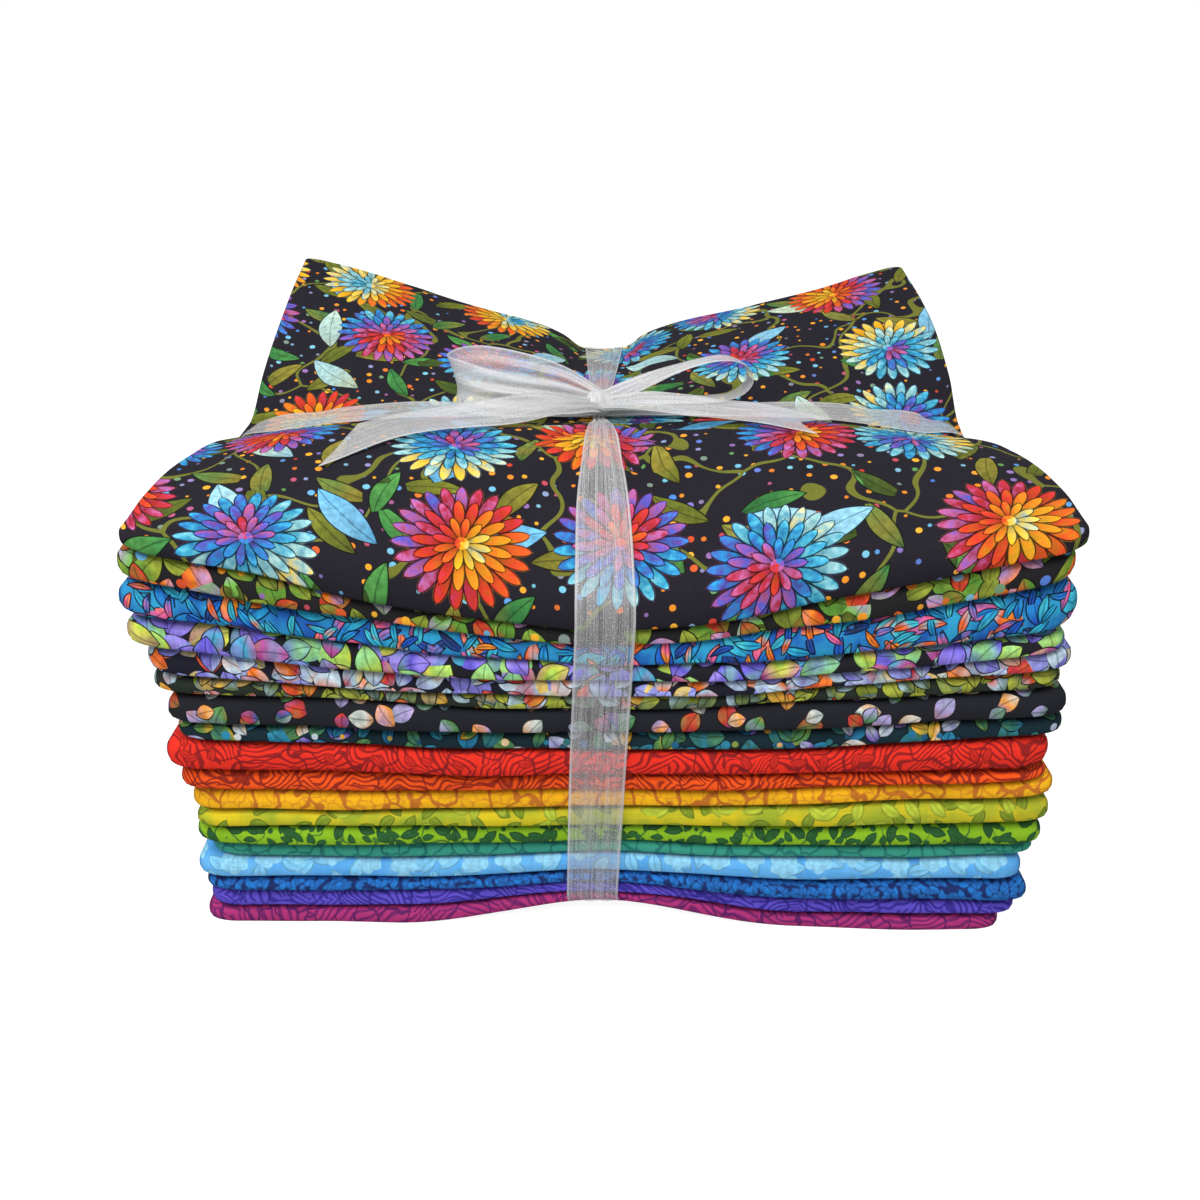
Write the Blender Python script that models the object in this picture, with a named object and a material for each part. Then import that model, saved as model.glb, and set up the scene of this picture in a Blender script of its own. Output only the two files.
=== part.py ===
"""A bundle of eighteen folded cotton cuts, tied crosswise with one sheer ribbon and a bow.

The bundle stands on its lowest cut. +X runs to the right along the folded front edges, -Y is the
front where the smooth folds show, and the origin is on the floor under the middle of the bundle.
Every cut is one sheet folded back and forth into four layers. Its two middle folds are nested at the
front, and its two ends lie at the back. The ribbon pulls the middle of the stack together, so the
upper cuts dip at the front, the lower ones lift off the floor, and the top rises at its back corners.
"""
import math
from collections import namedtuple

import bpy
import bmesh
from mathutils import Vector

# Driving sizes, in metres
BUNDLE_DEPTH = 0.2286
SHEET_THICKNESS = 0.0010
GAP_BETWEEN_CUTS = 0.0007
RIBBON_WIDTH = 0.0185
RIBBON_THICKNESS = 0.001
RIBBON_GAP = 0.0004
BAND_OVERLAP = 0.0004
MM = 0.001
# The bundle is placed so that its box stands centred over the origin
PLACE = (-0.0026, 0.0011, 0.0)

# Where the top and the levels bend, as distances from the middle and from the front, in metres
MIDDLE_X = 0.012
QUARTER_X = 0.055
END_X = 0.140
VALLEY_FRONT = 0.104
VALLEY_BACK = 0.124
BACK_BEND = 0.150
LAYERS = 4
# The places on a folded line up to the foremost point of its outer front turn: the upper cuts' count
FRONT_TURN_END = 9

# Past the shoulders a cut draws in to its end, its corner steps back, and its fold thins to this height
SHOULDER_X = 0.128
END_STEP_BACK = 0.004
END_HEIGHT = 0.0052

# The middle of the front is pulled in, and the lower right corners stand a little further forward
PULLED_IN = 0.0025
TWIST_FORWARD = 0.0043
TWIST_HEIGHT = 0.143

# The inner end of the sheet lies this much further in at the back than the outer one
LAYER_STEP = 0.0015

# Where the ribbon crosses under the lowest cut, the cut is raised by this much over this depth
UNDER_LIFT = 0.0021
UNDER_FRONT = 0.090
UNDER_BACK = 0.138

# The cuts from the floor up: the height of the lower side of the front fold at the left, middle and
# right, the part of that change that is reached at a quarter, and the ends and front, in millimetres
Cut = namedtuple("Cut", "name left middle right at_quarter left_end right_end front red green blue")
CUTS = [
    Cut("cut_18_magenta", 0.0, 8.6, 0.0, 1.00, 139.6, 140.6, 0.5, 0.38, 0.03, 0.17),
    Cut("cut_17_violet", 7.8, 13.9, 7.4, 0.90, 137.1, 145.1, 1.0, 0.10, 0.07, 0.55),
    Cut("cut_16_dark_blue", 15.9, 19.2, 14.3, 0.80, 137.0, 147.4, 0.0, 0.01, 0.03, 0.12),
    Cut("cut_15_light_blue", 21.6, 24.7, 23.4, 0.60, 139.2, 144.7, 1.5, 0.13, 0.50, 0.83),
    Cut("cut_14_teal", 29.8, 31.6, 33.0, 0.50, 133.4, 147.5, 2.5, 0.03, 0.30, 0.22),
    Cut("cut_13_green", 36.0, 37.0, 38.4, 0.36, 137.4, 148.6, 1.0, 0.26, 0.50, 0.02),
    Cut("cut_12_lime", 43.4, 43.8, 47.3, 0.36, 135.9, 149.4, 0.5, 0.50, 0.60, 0.03),
    Cut("cut_11_yellow", 49.8, 51.3, 57.5, 0.36, 136.3, 148.8, 1.5, 0.90, 0.50, 0.01),
    Cut("cut_10_orange", 58.8, 58.0, 63.6, 0.36, 138.5, 145.3, 1.0, 0.87, 0.10, 0.01),
    Cut("cut_09_red", 66.0, 63.8, 69.5, 0.36, 141.6, 144.7, 0.0, 0.75, 0.03, 0.01),
    Cut("cut_08_deep_mixed", 78.2, 73.4, 81.4, 0.36, 136.1, 147.6, 1.5, 0.02, 0.06, 0.09),
    Cut("cut_07_black_ovals", 84.8, 79.8, 88.7, 0.36, 137.6, 147.1, 0.5, 0.02, 0.02, 0.03),
    Cut("cut_06_olive_petals", 95.5, 86.9, 98.9, 0.36, 140.0, 143.2, 1.5, 0.28, 0.30, 0.05),
    Cut("cut_05_pale_cells", 102.3, 92.2, 104.6, 0.36, 140.2, 145.4, 1.0, 0.42, 0.45, 0.75),
    Cut("cut_04_green_cells", 110.8, 97.6, 111.3, 0.36, 144.3, 142.0, 0.0, 0.15, 0.42, 0.20),
    Cut("cut_03_painted", 122.5, 103.2, 117.8, 0.36, 144.0, 143.0, 0.5, 0.08, 0.38, 0.60),
    Cut("cut_02_dark_cells", 134.3, 109.8, 134.2, 0.36, 142.5, 140.2, 0.2, 0.05, 0.03, 0.03),
    Cut("cut_01_top", 145.0, 115.2, 145.0, 0.36, 139.7, 140.1, 0.0, 0.03, 0.02, 0.04),
]

# The top of the bundle at a depth behind the front, at both ends, at a quarter and in the middle
TopRow = namedtuple("TopRow", "depth left quarter middle right")
TOP = [
    TopRow(0.0, 150.6, 131.8, 122.0, 150.6),
    TopRow(22.0, 153.5, 150.0, 144.0, 153.5),
    TopRow(60.0, 155.5, 160.5, 159.5, 155.5),
    TopRow(104.0, 143.6, 153.5, 151.0, 143.6),
    TopRow(124.0, 143.6, 153.5, 151.0, 143.6),
    TopRow(150.0, 163.5, 160.5, 154.0, 163.0),
    TopRow(228.6, 197.0, 174.0, 156.0, 192.0),
]
HUMP_FROM = 80.0

# The width of the two bands on the top, by depth and by x, and the depths near the knot
BAND_WIDTHS = [(0.0, 0.0185), (0.046, 0.0140), (0.095, 0.0070), (0.114, 0.0055),
               (0.133, 0.0070), (0.2286, 0.0185)]
SIDE_BAND_WIDTHS = [(-0.110, 0.0185), (-0.055, 0.0160), (-0.030, 0.0120), (-0.012, 0.0080),
                    (0.012, 0.0080), (0.030, 0.0120), (0.055, 0.0160), (0.110, 0.0185)]
BAND_NARROW_FRONT = 0.095
BAND_NARROW_BACK = 0.133

# The bow: points along the middle of each strip, the way its width runs there, and the width.
# Millimetres from the bundle's middle, with heights from the floor
Strand = namedtuple("Strand", "x y z across_x across_y across_z width")
KNOT_CENTRE = (-0.4, 0.2, 156.4)
KNOT_RADII = (6.3, 5.2, 5.1)
LEFT_LOOP = [
    Strand(-1.0, 1.0, 157.5, 0.0, 0.35, 0.94, 6.0),
    Strand(-16.0, 4.5, 163.5, 0.0, 0.35, 0.94, 14.0),
    Strand(-33.0, 7.0, 168.0, 0.0, 0.30, 0.95, 17.5),
    Strand(-48.0, 5.5, 170.0, -0.1, 0.25, 0.96, 18.5),
    Strand(-55.0, -1.5, 168.2, -0.15, 0.20, 0.97, 18.5),
    Strand(-50.0, -8.5, 166.2, -0.1, 0.30, 0.95, 18.0),
    Strand(-35.0, -9.5, 163.2, 0.0, 0.45, 0.89, 16.5),
    Strand(-17.0, -5.5, 160.5, 0.0, 0.55, 0.83, 13.0),
    Strand(-1.0, -1.5, 156.5, 0.0, 0.60, 0.80, 6.0),
]
RIGHT_LOOP = [
    Strand(1.0, 1.0, 158.0, 0.0, 1.0, -0.10, 6.0),
    Strand(15.0, 1.0, 164.8, 0.0, 1.0, -0.09, 12.0),
    Strand(31.0, 1.0, 170.4, 0.0, 1.0, -0.09, 16.0),
    Strand(46.0, 0.5, 174.0, 0.0, 1.0, -0.09, 18.0),
    Strand(55.0, 0.0, 171.6, 0.0, 1.0, -0.09, 18.5),
    Strand(57.0, 0.0, 165.5, 0.0, 1.0, -0.10, 18.5),
    Strand(52.0, 0.0, 160.2, 0.0, 1.0, -0.11, 18.5),
    Strand(40.0, 0.0, 158.2, 0.0, 1.0, -0.12, 17.0),
    Strand(25.0, 0.0, 158.0, 0.0, 1.0, -0.12, 13.0),
    Strand(12.0, 0.0, 157.8, 0.0, 1.0, -0.10, 9.0),
    Strand(1.0, 0.0, 156.6, 0.0, 1.0, 0.0, 6.0),
]
LEFT_TAIL = [
    Strand(-1.0, -2.5, 156.5, -0.50, 0.80, 0.20, 6.0),
    Strand(-15.0, -18.0, 162.2, -0.50, 0.80, 0.34, 12.0),
    Strand(-34.0, -34.0, 165.0, -0.35, 0.86, 0.36, 17.0),
    Strand(-55.0, -42.0, 165.4, -0.28, 0.88, 0.36, 18.5),
    Strand(-71.0, -51.0, 164.8, -0.48, 0.80, 0.34, 18.5),
    Strand(-86.0, -65.0, 163.6, -0.62, 0.70, 0.30, 18.5),
]
RIGHT_TAIL = [
    Strand(1.0, -2.5, 156.5, 0.50, 0.80, 0.20, 6.0),
    Strand(17.0, -17.0, 162.2, 0.50, 0.84, 0.22, 12.0),
    Strand(36.0, -29.0, 164.0, 0.32, 0.94, 0.16, 17.5),
    Strand(56.0, -36.0, 164.0, 0.30, 0.95, 0.12, 18.5),
    Strand(77.0, -47.0, 162.8, 0.48, 0.87, 0.06, 18.5),
]
TAIL_SLANT = 0.014
TAIL_NOTCH = 0.009
STEPS_CUT_AWAY = 4
STEPS_ALONG_BOW = 2

COLLECTION_NAME = "fabric_bundle"
CUTTER_COLLECTION_NAME = "fabric_bundle_cutters"


def mix(first, second, part):
    """The value that lies the given part of the way from the first to the second."""
    return first + (second - first) * part


def between(rows, at):
    """A value read along (place, value) rows in straight steps, carried on past both ends."""
    for (place, value), (next_place, next_value) in zip(rows, rows[1:]):
        if at <= next_place or (next_place, next_value) == rows[-1]:
            return mix(value, next_value, (at - place) / (next_place - place))
    return rows[-1][1]


def across_bundle(left, quarter_left, middle, quarter_right, right, x):
    """A height at x, from its values at the two ends, the two quarters and the middle."""
    return between([(-END_X, left), (-QUARTER_X, quarter_left), (-MIDDLE_X, middle),
                    (MIDDLE_X, middle), (QUARTER_X, quarter_right), (END_X, right)], x)


def top_height(x, depth):
    """The height of the bundle's top at x, at a depth behind its front."""
    rows = []
    for row in TOP:
        height = across_bundle(row.left, row.quarter, row.middle, row.quarter, row.right, x)
        rows.append((row.depth * MM, height * MM))
    return between(rows, depth)


def front_height(index, x):
    """The height at x of the front's level under the cut with this index."""
    if index == len(CUTS):
        return top_height(x, 0.0)
    cut = CUTS[index]
    quarter_left = mix(cut.middle, cut.left, cut.at_quarter)
    quarter_right = mix(cut.middle, cut.right, cut.at_quarter)
    return across_bundle(cut.left, quarter_left, cut.middle, quarter_right, cut.right, x) * MM


def level_height(index, x, depth):
    """The height of the level under a cut: the higher the level, the more it follows the top."""
    if index == len(CUTS):
        return top_height(x, depth)
    cut = CUTS[index]
    mean = (cut.left + cut.right) / 2.0
    highest = TOP[0].left
    hump_share = max(0.0, (mean - HUMP_FROM) / (highest - HUMP_FROM))
    back_share = (mean / highest) ** 2
    steady = between([(VALLEY_BACK, 0.0), (BUNDLE_DEPTH, 1.0)], max(depth, VALLEY_BACK))
    rise = (top_height(x, BUNDLE_DEPTH) - top_height(x, VALLEY_BACK)) * steady
    hump = top_height(x, depth) - top_height(x, 0.0) - rise
    height = front_height(index, x) + hump_share * hump + back_share * rise
    if index == 0:
        lift = across_bundle(UNDER_LIFT, UNDER_LIFT, 0.0, UNDER_LIFT, UNDER_LIFT, x)
        height += between([(0.0, 0.0), (UNDER_FRONT, 0.0), (VALLEY_FRONT, lift),
                           (VALLEY_BACK, lift), (UNDER_BACK, 0.0), (BUNDLE_DEPTH, 0.0)], depth)
    return height


def depth_stops(index):
    """The depths at which a cut's layers bend: the lower cuts are flat and need few."""
    if index == 0:
        return [UNDER_FRONT, VALLEY_FRONT, VALLEY_BACK, UNDER_BACK, BACK_BEND]
    if CUTS[index].left < HUMP_FROM - 5.0:
        return [VALLEY_BACK, BACK_BEND]
    return [row.depth * MM for row in TOP[1:-1]]


def front_depth(index, x):
    """How far behind the bundle's front plane a cut's fold stands at x."""
    cut = CUTS[index]
    pulled = between([(-END_X, 0.0), (-QUARTER_X, 0.0), (-MIDDLE_X, PULLED_IN),
                      (MIDDLE_X, PULLED_IN), (QUARTER_X, 0.0), (END_X, 0.0)], x)
    lowness = 1.0 - min(1.0, cut.right * MM / TWIST_HEIGHT)
    twist = TWIST_FORWARD * lowness * max(0.0, x / END_X)
    return cut.front * MM + pulled - twist


def folded_line(index, x, end_part):
    """The middle line of a cut's folded sheet at x: (depth, height, and the way to its inner side).

    The sheet starts at the back on the topmost layer, runs forward, turns round the outer front
    fold, runs back under everything, turns up at the back, runs forward, turns round the inner
    front fold and ends at the back. end_part is 1 where the cut ends and draws in, 0 elsewhere.
    """
    front = front_depth(index, x) + END_STEP_BACK * end_part
    top_gap = 0.0 if index == len(CUTS) - 1 else GAP_BETWEEN_CUTS
    half = SHEET_THICKNESS / 2.0

    def layer(depth, number):
        low = level_height(index, x, depth)
        high = level_height(index + 1, x, depth) - top_gap
        drawn = min(high - low, END_HEIGHT)
        middle = (low + high) / 2.0
        low = mix(low, middle - drawn / 2.0, end_part) + half
        high = mix(high, middle + drawn / 2.0, end_part) - half
        return mix(low, high, number / (LAYERS - 1.0))

    spacing = layer(front, 1) - layer(front, 0)
    outer_radius = 1.5 * spacing
    centre = front + half + outer_radius
    back_turn = BUNDLE_DEPTH - half - spacing / 2.0
    depths = [centre] + depth_stops(index) + [back_turn]

    def run(number, places, side):
        return [(depth, layer(depth, number), 0.0, side) for depth in places]

    line = run(3, [BUNDLE_DEPTH] + depths[-2::-1], -1.0)
    for angle in (45.0, 90.0, 135.0):
        sine = math.sin(math.radians(angle))
        cosine = math.cos(math.radians(angle))
        depth = centre - outer_radius * sine
        height = mix(layer(depth, 0), layer(depth, 3), (1.0 + cosine) / 2.0)
        line.append((depth, height, sine, -cosine))
    line += run(0, depths, 1.0)
    turned = back_turn + spacing / 2.0
    line.append((turned, (layer(turned, 0) + layer(turned, 1)) / 2.0, -1.0, 0.0))
    line += run(1, depths[::-1], -1.0)
    turned = centre - spacing / 2.0
    line.append((turned, (layer(turned, 1) + layer(turned, 2)) / 2.0, -1.0, 0.0))
    line += run(2, depths[:-1] + [BUNDLE_DEPTH - LAYER_STEP], 1.0)
    return line


def side_of(line, distance):
    """The points at this distance from a folded line, on its inner side if it is more than 0."""
    return [(depth + to_side * distance, height + up * distance)
            for depth, height, to_side, up in line]


def folded_outline(index, x, end_part):
    """The closed outline of a cut's folded sheet at x, as (depth, height) points."""
    line = folded_line(index, x, end_part)
    half = SHEET_THICKNESS / 2.0
    return side_of(line, half) + side_of(line, -half)[::-1]


def new_object(name, mesh_data, collection, colour, roughness):
    """One object in the collection, from a bmesh, with a material of its own."""
    bmesh.ops.recalc_face_normals(mesh_data, faces=mesh_data.faces)
    mesh = bpy.data.meshes.new(name)
    mesh_data.to_mesh(mesh)
    mesh_data.free()
    created = bpy.data.objects.new(name, mesh)
    created.location = PLACE
    collection.objects.link(created)
    material = bpy.data.materials.new(name)
    material.use_nodes = True
    shader = material.node_tree.nodes["Principled BSDF"]
    shader.inputs["Base Color"].default_value = (*colour, 1.0)
    shader.inputs["Roughness"].default_value = roughness
    shader.inputs["Metallic"].default_value = 0.0
    mesh.materials.append(material)
    return created


def loft(sections):
    """A closed solid through sections with equal numbers of points, each quad cut the same way."""
    solid = bmesh.new()
    rings = [[solid.verts.new(point) for point in section] for section in sections]
    count = len(rings[0])
    for ring, next_ring in zip(rings, rings[1:]):
        for number in range(count):
            following = (number + 1) % count
            corners = (ring[number], ring[following], next_ring[following], next_ring[number])
            if ring[following].co.y > ring[number].co.y:
                solid.faces.new((corners[0], corners[1], corners[2]))
                solid.faces.new((corners[0], corners[2], corners[3]))
            else:
                solid.faces.new((corners[0], corners[1], corners[3]))
                solid.faces.new((corners[1], corners[2], corners[3]))
    solid.faces.new(rings[0])
    solid.faces.new(rings[-1][::-1])
    return solid


def make_cut(index, collection):
    """One folded cut: its section changes along X as the ribbon squeezes the stack."""
    cut = CUTS[index]
    left_end = -cut.left_end * MM
    right_end = cut.right_end * MM
    stations = [(left_end, 1.0), (-SHOULDER_X, 0.0), (-QUARTER_X, 0.0), (-MIDDLE_X, 0.0),
                (MIDDLE_X, 0.0), (QUARTER_X, 0.0), (SHOULDER_X, 0.0), (right_end, 1.0)]
    sections = []
    for x, end_part in stations:
        outline = folded_outline(index, x, end_part)
        sections.append([Vector((x, depth - BUNDLE_DEPTH / 2.0, height)) for depth, height in outline])
    return new_object(cut.name, loft(sections), collection, (cut.red, cut.green, cut.blue), 0.9)


def strip_solid(centres, acrosses, widths, slant=0.0, notch=0.0):
    """A closed ribbon strip through its middle points, with its width along the given directions.

    slant pushes one edge of the free end further out, and notch draws its middle in.
    """
    sections = []
    for number, centre in enumerate(centres):
        before = centres[max(0, number - 1)]
        after = centres[min(len(centres) - 1, number + 1)]
        along = (after - before).normalized()
        across = (acrosses[number] - along * acrosses[number].dot(along)).normalized()
        face = along.cross(across).normalized() * (RIBBON_THICKNESS / 2.0)
        half = across * (widths[number] / 2.0)
        end_part = max(0.0, 1.0 - (len(centres) - 1 - number) / STEPS_CUT_AWAY)
        far_edge = along * (slant * end_part)
        drawn_in = along * (notch * end_part)
        sections.append([centre - half - far_edge + face, centre - drawn_in + face,
                         centre + half + far_edge + face, centre + half + far_edge - face,
                         centre - drawn_in - face, centre - half - far_edge - face])
    solid = bmesh.new()
    rings = [[solid.verts.new(point) for point in section] for section in sections]
    for ring, next_ring in zip(rings, rings[1:]):
        for number in range(6):
            following = (number + 1) % 6
            solid.faces.new((ring[number], ring[following], next_ring[following], next_ring[number]))
    for ring in (rings[0], rings[-1][::-1]):
        solid.faces.new((ring[0], ring[1], ring[4], ring[5]))
        solid.faces.new((ring[1], ring[2], ring[3], ring[4]))
    return solid


def smooth_strands(rows):
    """Centres, directions and widths along a smooth curve through a strip's rows."""
    centres, acrosses, widths = [], [], []
    for number in range(len(rows) - 1):
        before = Vector(rows[max(0, number - 1)])
        start = Vector(rows[number])
        end = Vector(rows[number + 1])
        after = Vector(rows[min(len(rows) - 1, number + 2)])
        for step in range(STEPS_ALONG_BOW):
            part = step / STEPS_ALONG_BOW
            value = start * 2.0 + (end - before) * part
            value += (before * 2.0 - start * 5.0 + end * 4.0 - after) * part ** 2
            value += (start * 3.0 - before - end * 3.0 + after) * part ** 3
            value *= 0.5
            centres.append(Vector(value[0:3]) * MM)
            acrosses.append(Vector(value[3:6]))
            widths.append(value[6] * MM)
    last = rows[-1]
    centres.append(Vector(last[0:3]) * MM)
    acrosses.append(Vector(last[3:6]))
    widths.append(last.width * MM)
    return centres, acrosses, widths


def band_solid(path, across):
    """A closed ring of ribbon along a path of (point, width) rows, its width along one direction."""
    solid = bmesh.new()
    rings = []
    count = len(path)
    for number, (point, width) in enumerate(path):
        before = path[number - 1][0]
        after = path[(number + 1) % count][0]
        arriving = (point - before).normalized()
        leaving = (after - point).normalized()
        along = (arriving + leaving).normalized()
        outward = along.cross(across).normalized()
        outward /= max(0.5, outward.dot(arriving.cross(across).normalized()))
        half = across * (width / 2.0)
        rings.append([solid.verts.new(corner) for corner in (
            point - half, point + half,
            point + half + outward * RIBBON_THICKNESS, point - half + outward * RIBBON_THICKNESS)])
    for number in range(count):
        ring, next_ring = rings[number], rings[(number + 1) % count]
        for corner in range(4):
            following = (corner + 1) % 4
            solid.faces.new((ring[corner], ring[following], next_ring[following], next_ring[corner]))
    return solid


def front_to_back_band():
    """The band over the top and front, under the floor side and up the back, narrow at the knot."""
    top = len(CUTS) - 1
    line = folded_line(top, 0.0, 0.0)
    over_top = side_of(line[1:FRONT_TURN_END], -SHEET_THICKNESS / 2.0 - RIBBON_GAP)
    for depth in (BAND_NARROW_FRONT, BUNDLE_DEPTH / 2.0, BAND_NARROW_BACK):
        over_top.append((depth, top_height(0.0, depth) + RIBBON_GAP))
    over_top.sort(reverse=True)
    back = BUNDLE_DEPTH + RIBBON_GAP
    front = over_top[-1][0]
    lowest = level_height(0, 0.0, 0.0) - RIBBON_GAP
    under = [(depth, level_height(0, 0.0, depth) - RIBBON_GAP)
             for depth in (UNDER_FRONT, VALLEY_FRONT, VALLEY_BACK, UNDER_BACK)]
    round_bundle = [(back, top_height(0.0, BUNDLE_DEPTH) + RIBBON_GAP)]
    round_bundle += over_top + [(front, lowest)] + under + [(back, lowest)]
    path = []
    for depth, height in round_bundle:
        width = RIBBON_WIDTH
        if height > level_height(top, 0.0, depth):
            width = between(BAND_WIDTHS, depth)
        path.append((Vector((0.0, depth - BUNDLE_DEPTH / 2.0, height)), width))
    return band_solid(path, Vector((1.0, 0.0, 0.0)))


def taut_line(points):
    """The outer bend points of a ribbon pulled tight down past (reach, height) points."""
    line = []
    for reach, height in points:
        while len(line) > 1:
            (first_reach, first_height), (last_reach, last_height) = line[-2:]
            turn = (last_reach - first_reach) * (height - first_height)
            turn -= (last_height - first_height) * (reach - first_reach)
            if turn < 0.0:
                break
            line.pop()
        line.append((reach, height))
    return line


def end_points(side):
    """The places that a band down one end passes, from the top to the floor: (reach, height)."""
    middle_depth = BUNDLE_DEPTH / 2.0
    points = []
    for index in range(len(CUTS) - 1, -1, -1):
        reach = (CUTS[index].right_end if side > 0.0 else CUTS[index].left_end) * MM + RIBBON_GAP
        high = level_height(index + 1, side * reach, middle_depth)
        low = level_height(index, side * reach, middle_depth)
        points += [(reach, high), (reach, low)]
    top_reach, top = points[0]
    low_reach, low = points[-1]
    points[0] = (top_reach, top + RIBBON_GAP + BAND_OVERLAP)
    points[-1] = (low_reach, low - RIBBON_GAP - BAND_OVERLAP)
    return taut_line(points)


def side_to_side_band():
    """The band over the valley of the top, down both ends and under the floor side."""
    left_line = end_points(-1.0)
    right_line = end_points(1.0)
    path = [(Vector((-reach, 0.0, height)), RIBBON_WIDTH) for reach, height in left_line[::-1]]
    for x, width in SIDE_BAND_WIDTHS:
        height = top_height(x, VALLEY_FRONT) + RIBBON_GAP + BAND_OVERLAP
        path.append((Vector((x, 0.0, height)), width))
    path += [(Vector((reach, 0.0, height)), RIBBON_WIDTH) for reach, height in right_line]
    for x in (QUARTER_X, MIDDLE_X, -MIDDLE_X, -QUARTER_X):
        height = level_height(0, x, BUNDLE_DEPTH / 2.0) - RIBBON_GAP - BAND_OVERLAP
        path.append((Vector((x, 0.0, height)), RIBBON_WIDTH))
    return band_solid(path, Vector((0.0, 1.0, 0.0)))


def knot_solid():
    """The knot: a small rounded lump that all the strips run into."""
    solid = bmesh.new()
    bmesh.ops.create_uvsphere(solid, u_segments=14, v_segments=8, radius=1.0)
    bmesh.ops.scale(solid, vec=Vector(KNOT_RADII) * MM, verts=solid.verts)
    bmesh.ops.translate(solid, vec=Vector(KNOT_CENTRE) * MM, verts=solid.verts)
    return solid


def make_ribbon(collection, cutters):
    """The ribbon: two bands, the knot, two loops and two tails, joined into one piece."""
    ribbon = new_object("ribbon", front_to_back_band(), collection, (0.86, 0.88, 0.90), 0.35)
    pieces = [
        ("side_band", side_to_side_band()),
        ("knot", knot_solid()),
        ("left_loop", strip_solid(*smooth_strands(LEFT_LOOP))),
        ("right_loop", strip_solid(*smooth_strands(RIGHT_LOOP))),
        ("left_tail", strip_solid(*smooth_strands(LEFT_TAIL), slant=TAIL_SLANT)),
        ("right_tail", strip_solid(*smooth_strands(RIGHT_TAIL), notch=TAIL_NOTCH)),
    ]
    for name, solid in pieces:
        piece = new_object(name, solid, cutters, (0.86, 0.88, 0.90), 0.35)
        piece.hide_render = True
        piece.display_type = "WIRE"
        joined = ribbon.modifiers.new("join " + name, "BOOLEAN")
        joined.operation = "UNION"
        joined.object = piece
    return ribbon


def main():
    """Clears the scene and builds the bundle."""
    for existing in list(bpy.data.objects):
        bpy.data.objects.remove(existing, do_unlink=True)
    collection = bpy.data.collections.new(COLLECTION_NAME)
    bpy.context.scene.collection.children.link(collection)
    cutters = bpy.data.collections.new(CUTTER_COLLECTION_NAME)
    bpy.context.scene.collection.children.link(cutters)
    for index in range(len(CUTS)):
        make_cut(index, collection)
    make_ribbon(collection, cutters)


if __name__ == "__main__":
    main()
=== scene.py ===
"""The looks of the fabric bundle: eighteen folded cotton cuts, their weave and prints, and a sheer ribbon.

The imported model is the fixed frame. Every cut is laid again as one thin cloth sheet on the folds of its
solid, and the ribbon is made again as sheer strips. Lengths are in metres. The tables, and the single
values that are used with them, are in millimetres. Depth is measured backwards from the front plane of the
bundle, and x from its middle.
"""
import math
from collections import namedtuple

import bpy
import numpy as np
from bpy.props import FloatProperty, FloatVectorProperty, PointerProperty
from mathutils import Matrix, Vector, noise


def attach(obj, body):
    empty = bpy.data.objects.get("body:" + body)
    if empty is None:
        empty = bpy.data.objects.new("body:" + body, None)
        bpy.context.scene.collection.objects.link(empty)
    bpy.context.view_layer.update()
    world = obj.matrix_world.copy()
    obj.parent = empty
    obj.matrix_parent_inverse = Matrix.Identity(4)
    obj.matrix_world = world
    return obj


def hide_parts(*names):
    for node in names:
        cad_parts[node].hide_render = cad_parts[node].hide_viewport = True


bl_info = {
    "name": "Fabric bundle",
    "version": (1, 0, 0),
    "blender": (4, 5, 0),
    "location": "3D View > Sidebar > Fabric bundle",
    "description": "Lays folded printed cotton cuts and ties them with a sheer ribbon",
    "category": "Add Mesh",
}

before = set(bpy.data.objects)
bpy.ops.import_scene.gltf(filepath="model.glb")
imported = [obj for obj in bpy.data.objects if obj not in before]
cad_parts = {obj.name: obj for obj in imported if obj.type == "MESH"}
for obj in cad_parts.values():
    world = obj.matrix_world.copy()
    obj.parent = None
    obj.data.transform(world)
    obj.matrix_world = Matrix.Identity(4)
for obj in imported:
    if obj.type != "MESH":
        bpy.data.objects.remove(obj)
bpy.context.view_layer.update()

MM = 0.001
BUNDLE_DEPTH = 0.2286
MIDDLE = Vector((-0.0026, 0.0011, 0.0))
FRONT_Y = MIDDLE.y - BUNDLE_DEPTH / 2.0

# The cloth, and the room that it leaves to the cut above
CLOTH_THICKNESS = 0.0004
GAP_BETWEEN_CUTS = 0.0005
FRONT_GAP = 0.0019
FRONT_GAP_REACH = 0.009
LAYERS = 4

# Each end of a cut is rounded over this length, where it thins, leans back and draws its layers in
ROUNDED_END = 0.011
ROUNDED_SHARE = 0.985
END_STEP_BACK = 0.0045
END_HEIGHT = 0.0034

# The middle of the front is pulled in, and the lower right corners stand a little further forward
PULLED_IN = 0.0025
PULLED_REACH = 0.055
PULLED_SHARPNESS = 1.6
TWIST_FORWARD = 0.0043
TWIST_HEIGHT = 143.0

# A front fold is the fullest at this share of its height, and its face leans back this far above that
NOSE_HEIGHT = 0.15
FOLD_LEAN = 0.0046
FOLD_BLUNTNESS = 2.8
FOLD_SHOULDER = 0.62

# The slow waves of the folds, and the length over which they change
LEVEL_WAVE = 0.00035
FRONT_WAVE = 0.0005
END_WAVE = 0.0011
WAVE_LENGTH = 0.034
END_WAVE_LENGTH = 0.045
END_WAVE_ROWS = 37.0

# How far the two edges of a sheet end before the back of the bundle, and how unevenly
INNER_EDGE = 0.0018
INNER_EDGE_WAVE = 0.0008
OUTER_EDGE = 0.0002
OUTER_EDGE_WAVE = 0.0010

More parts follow.
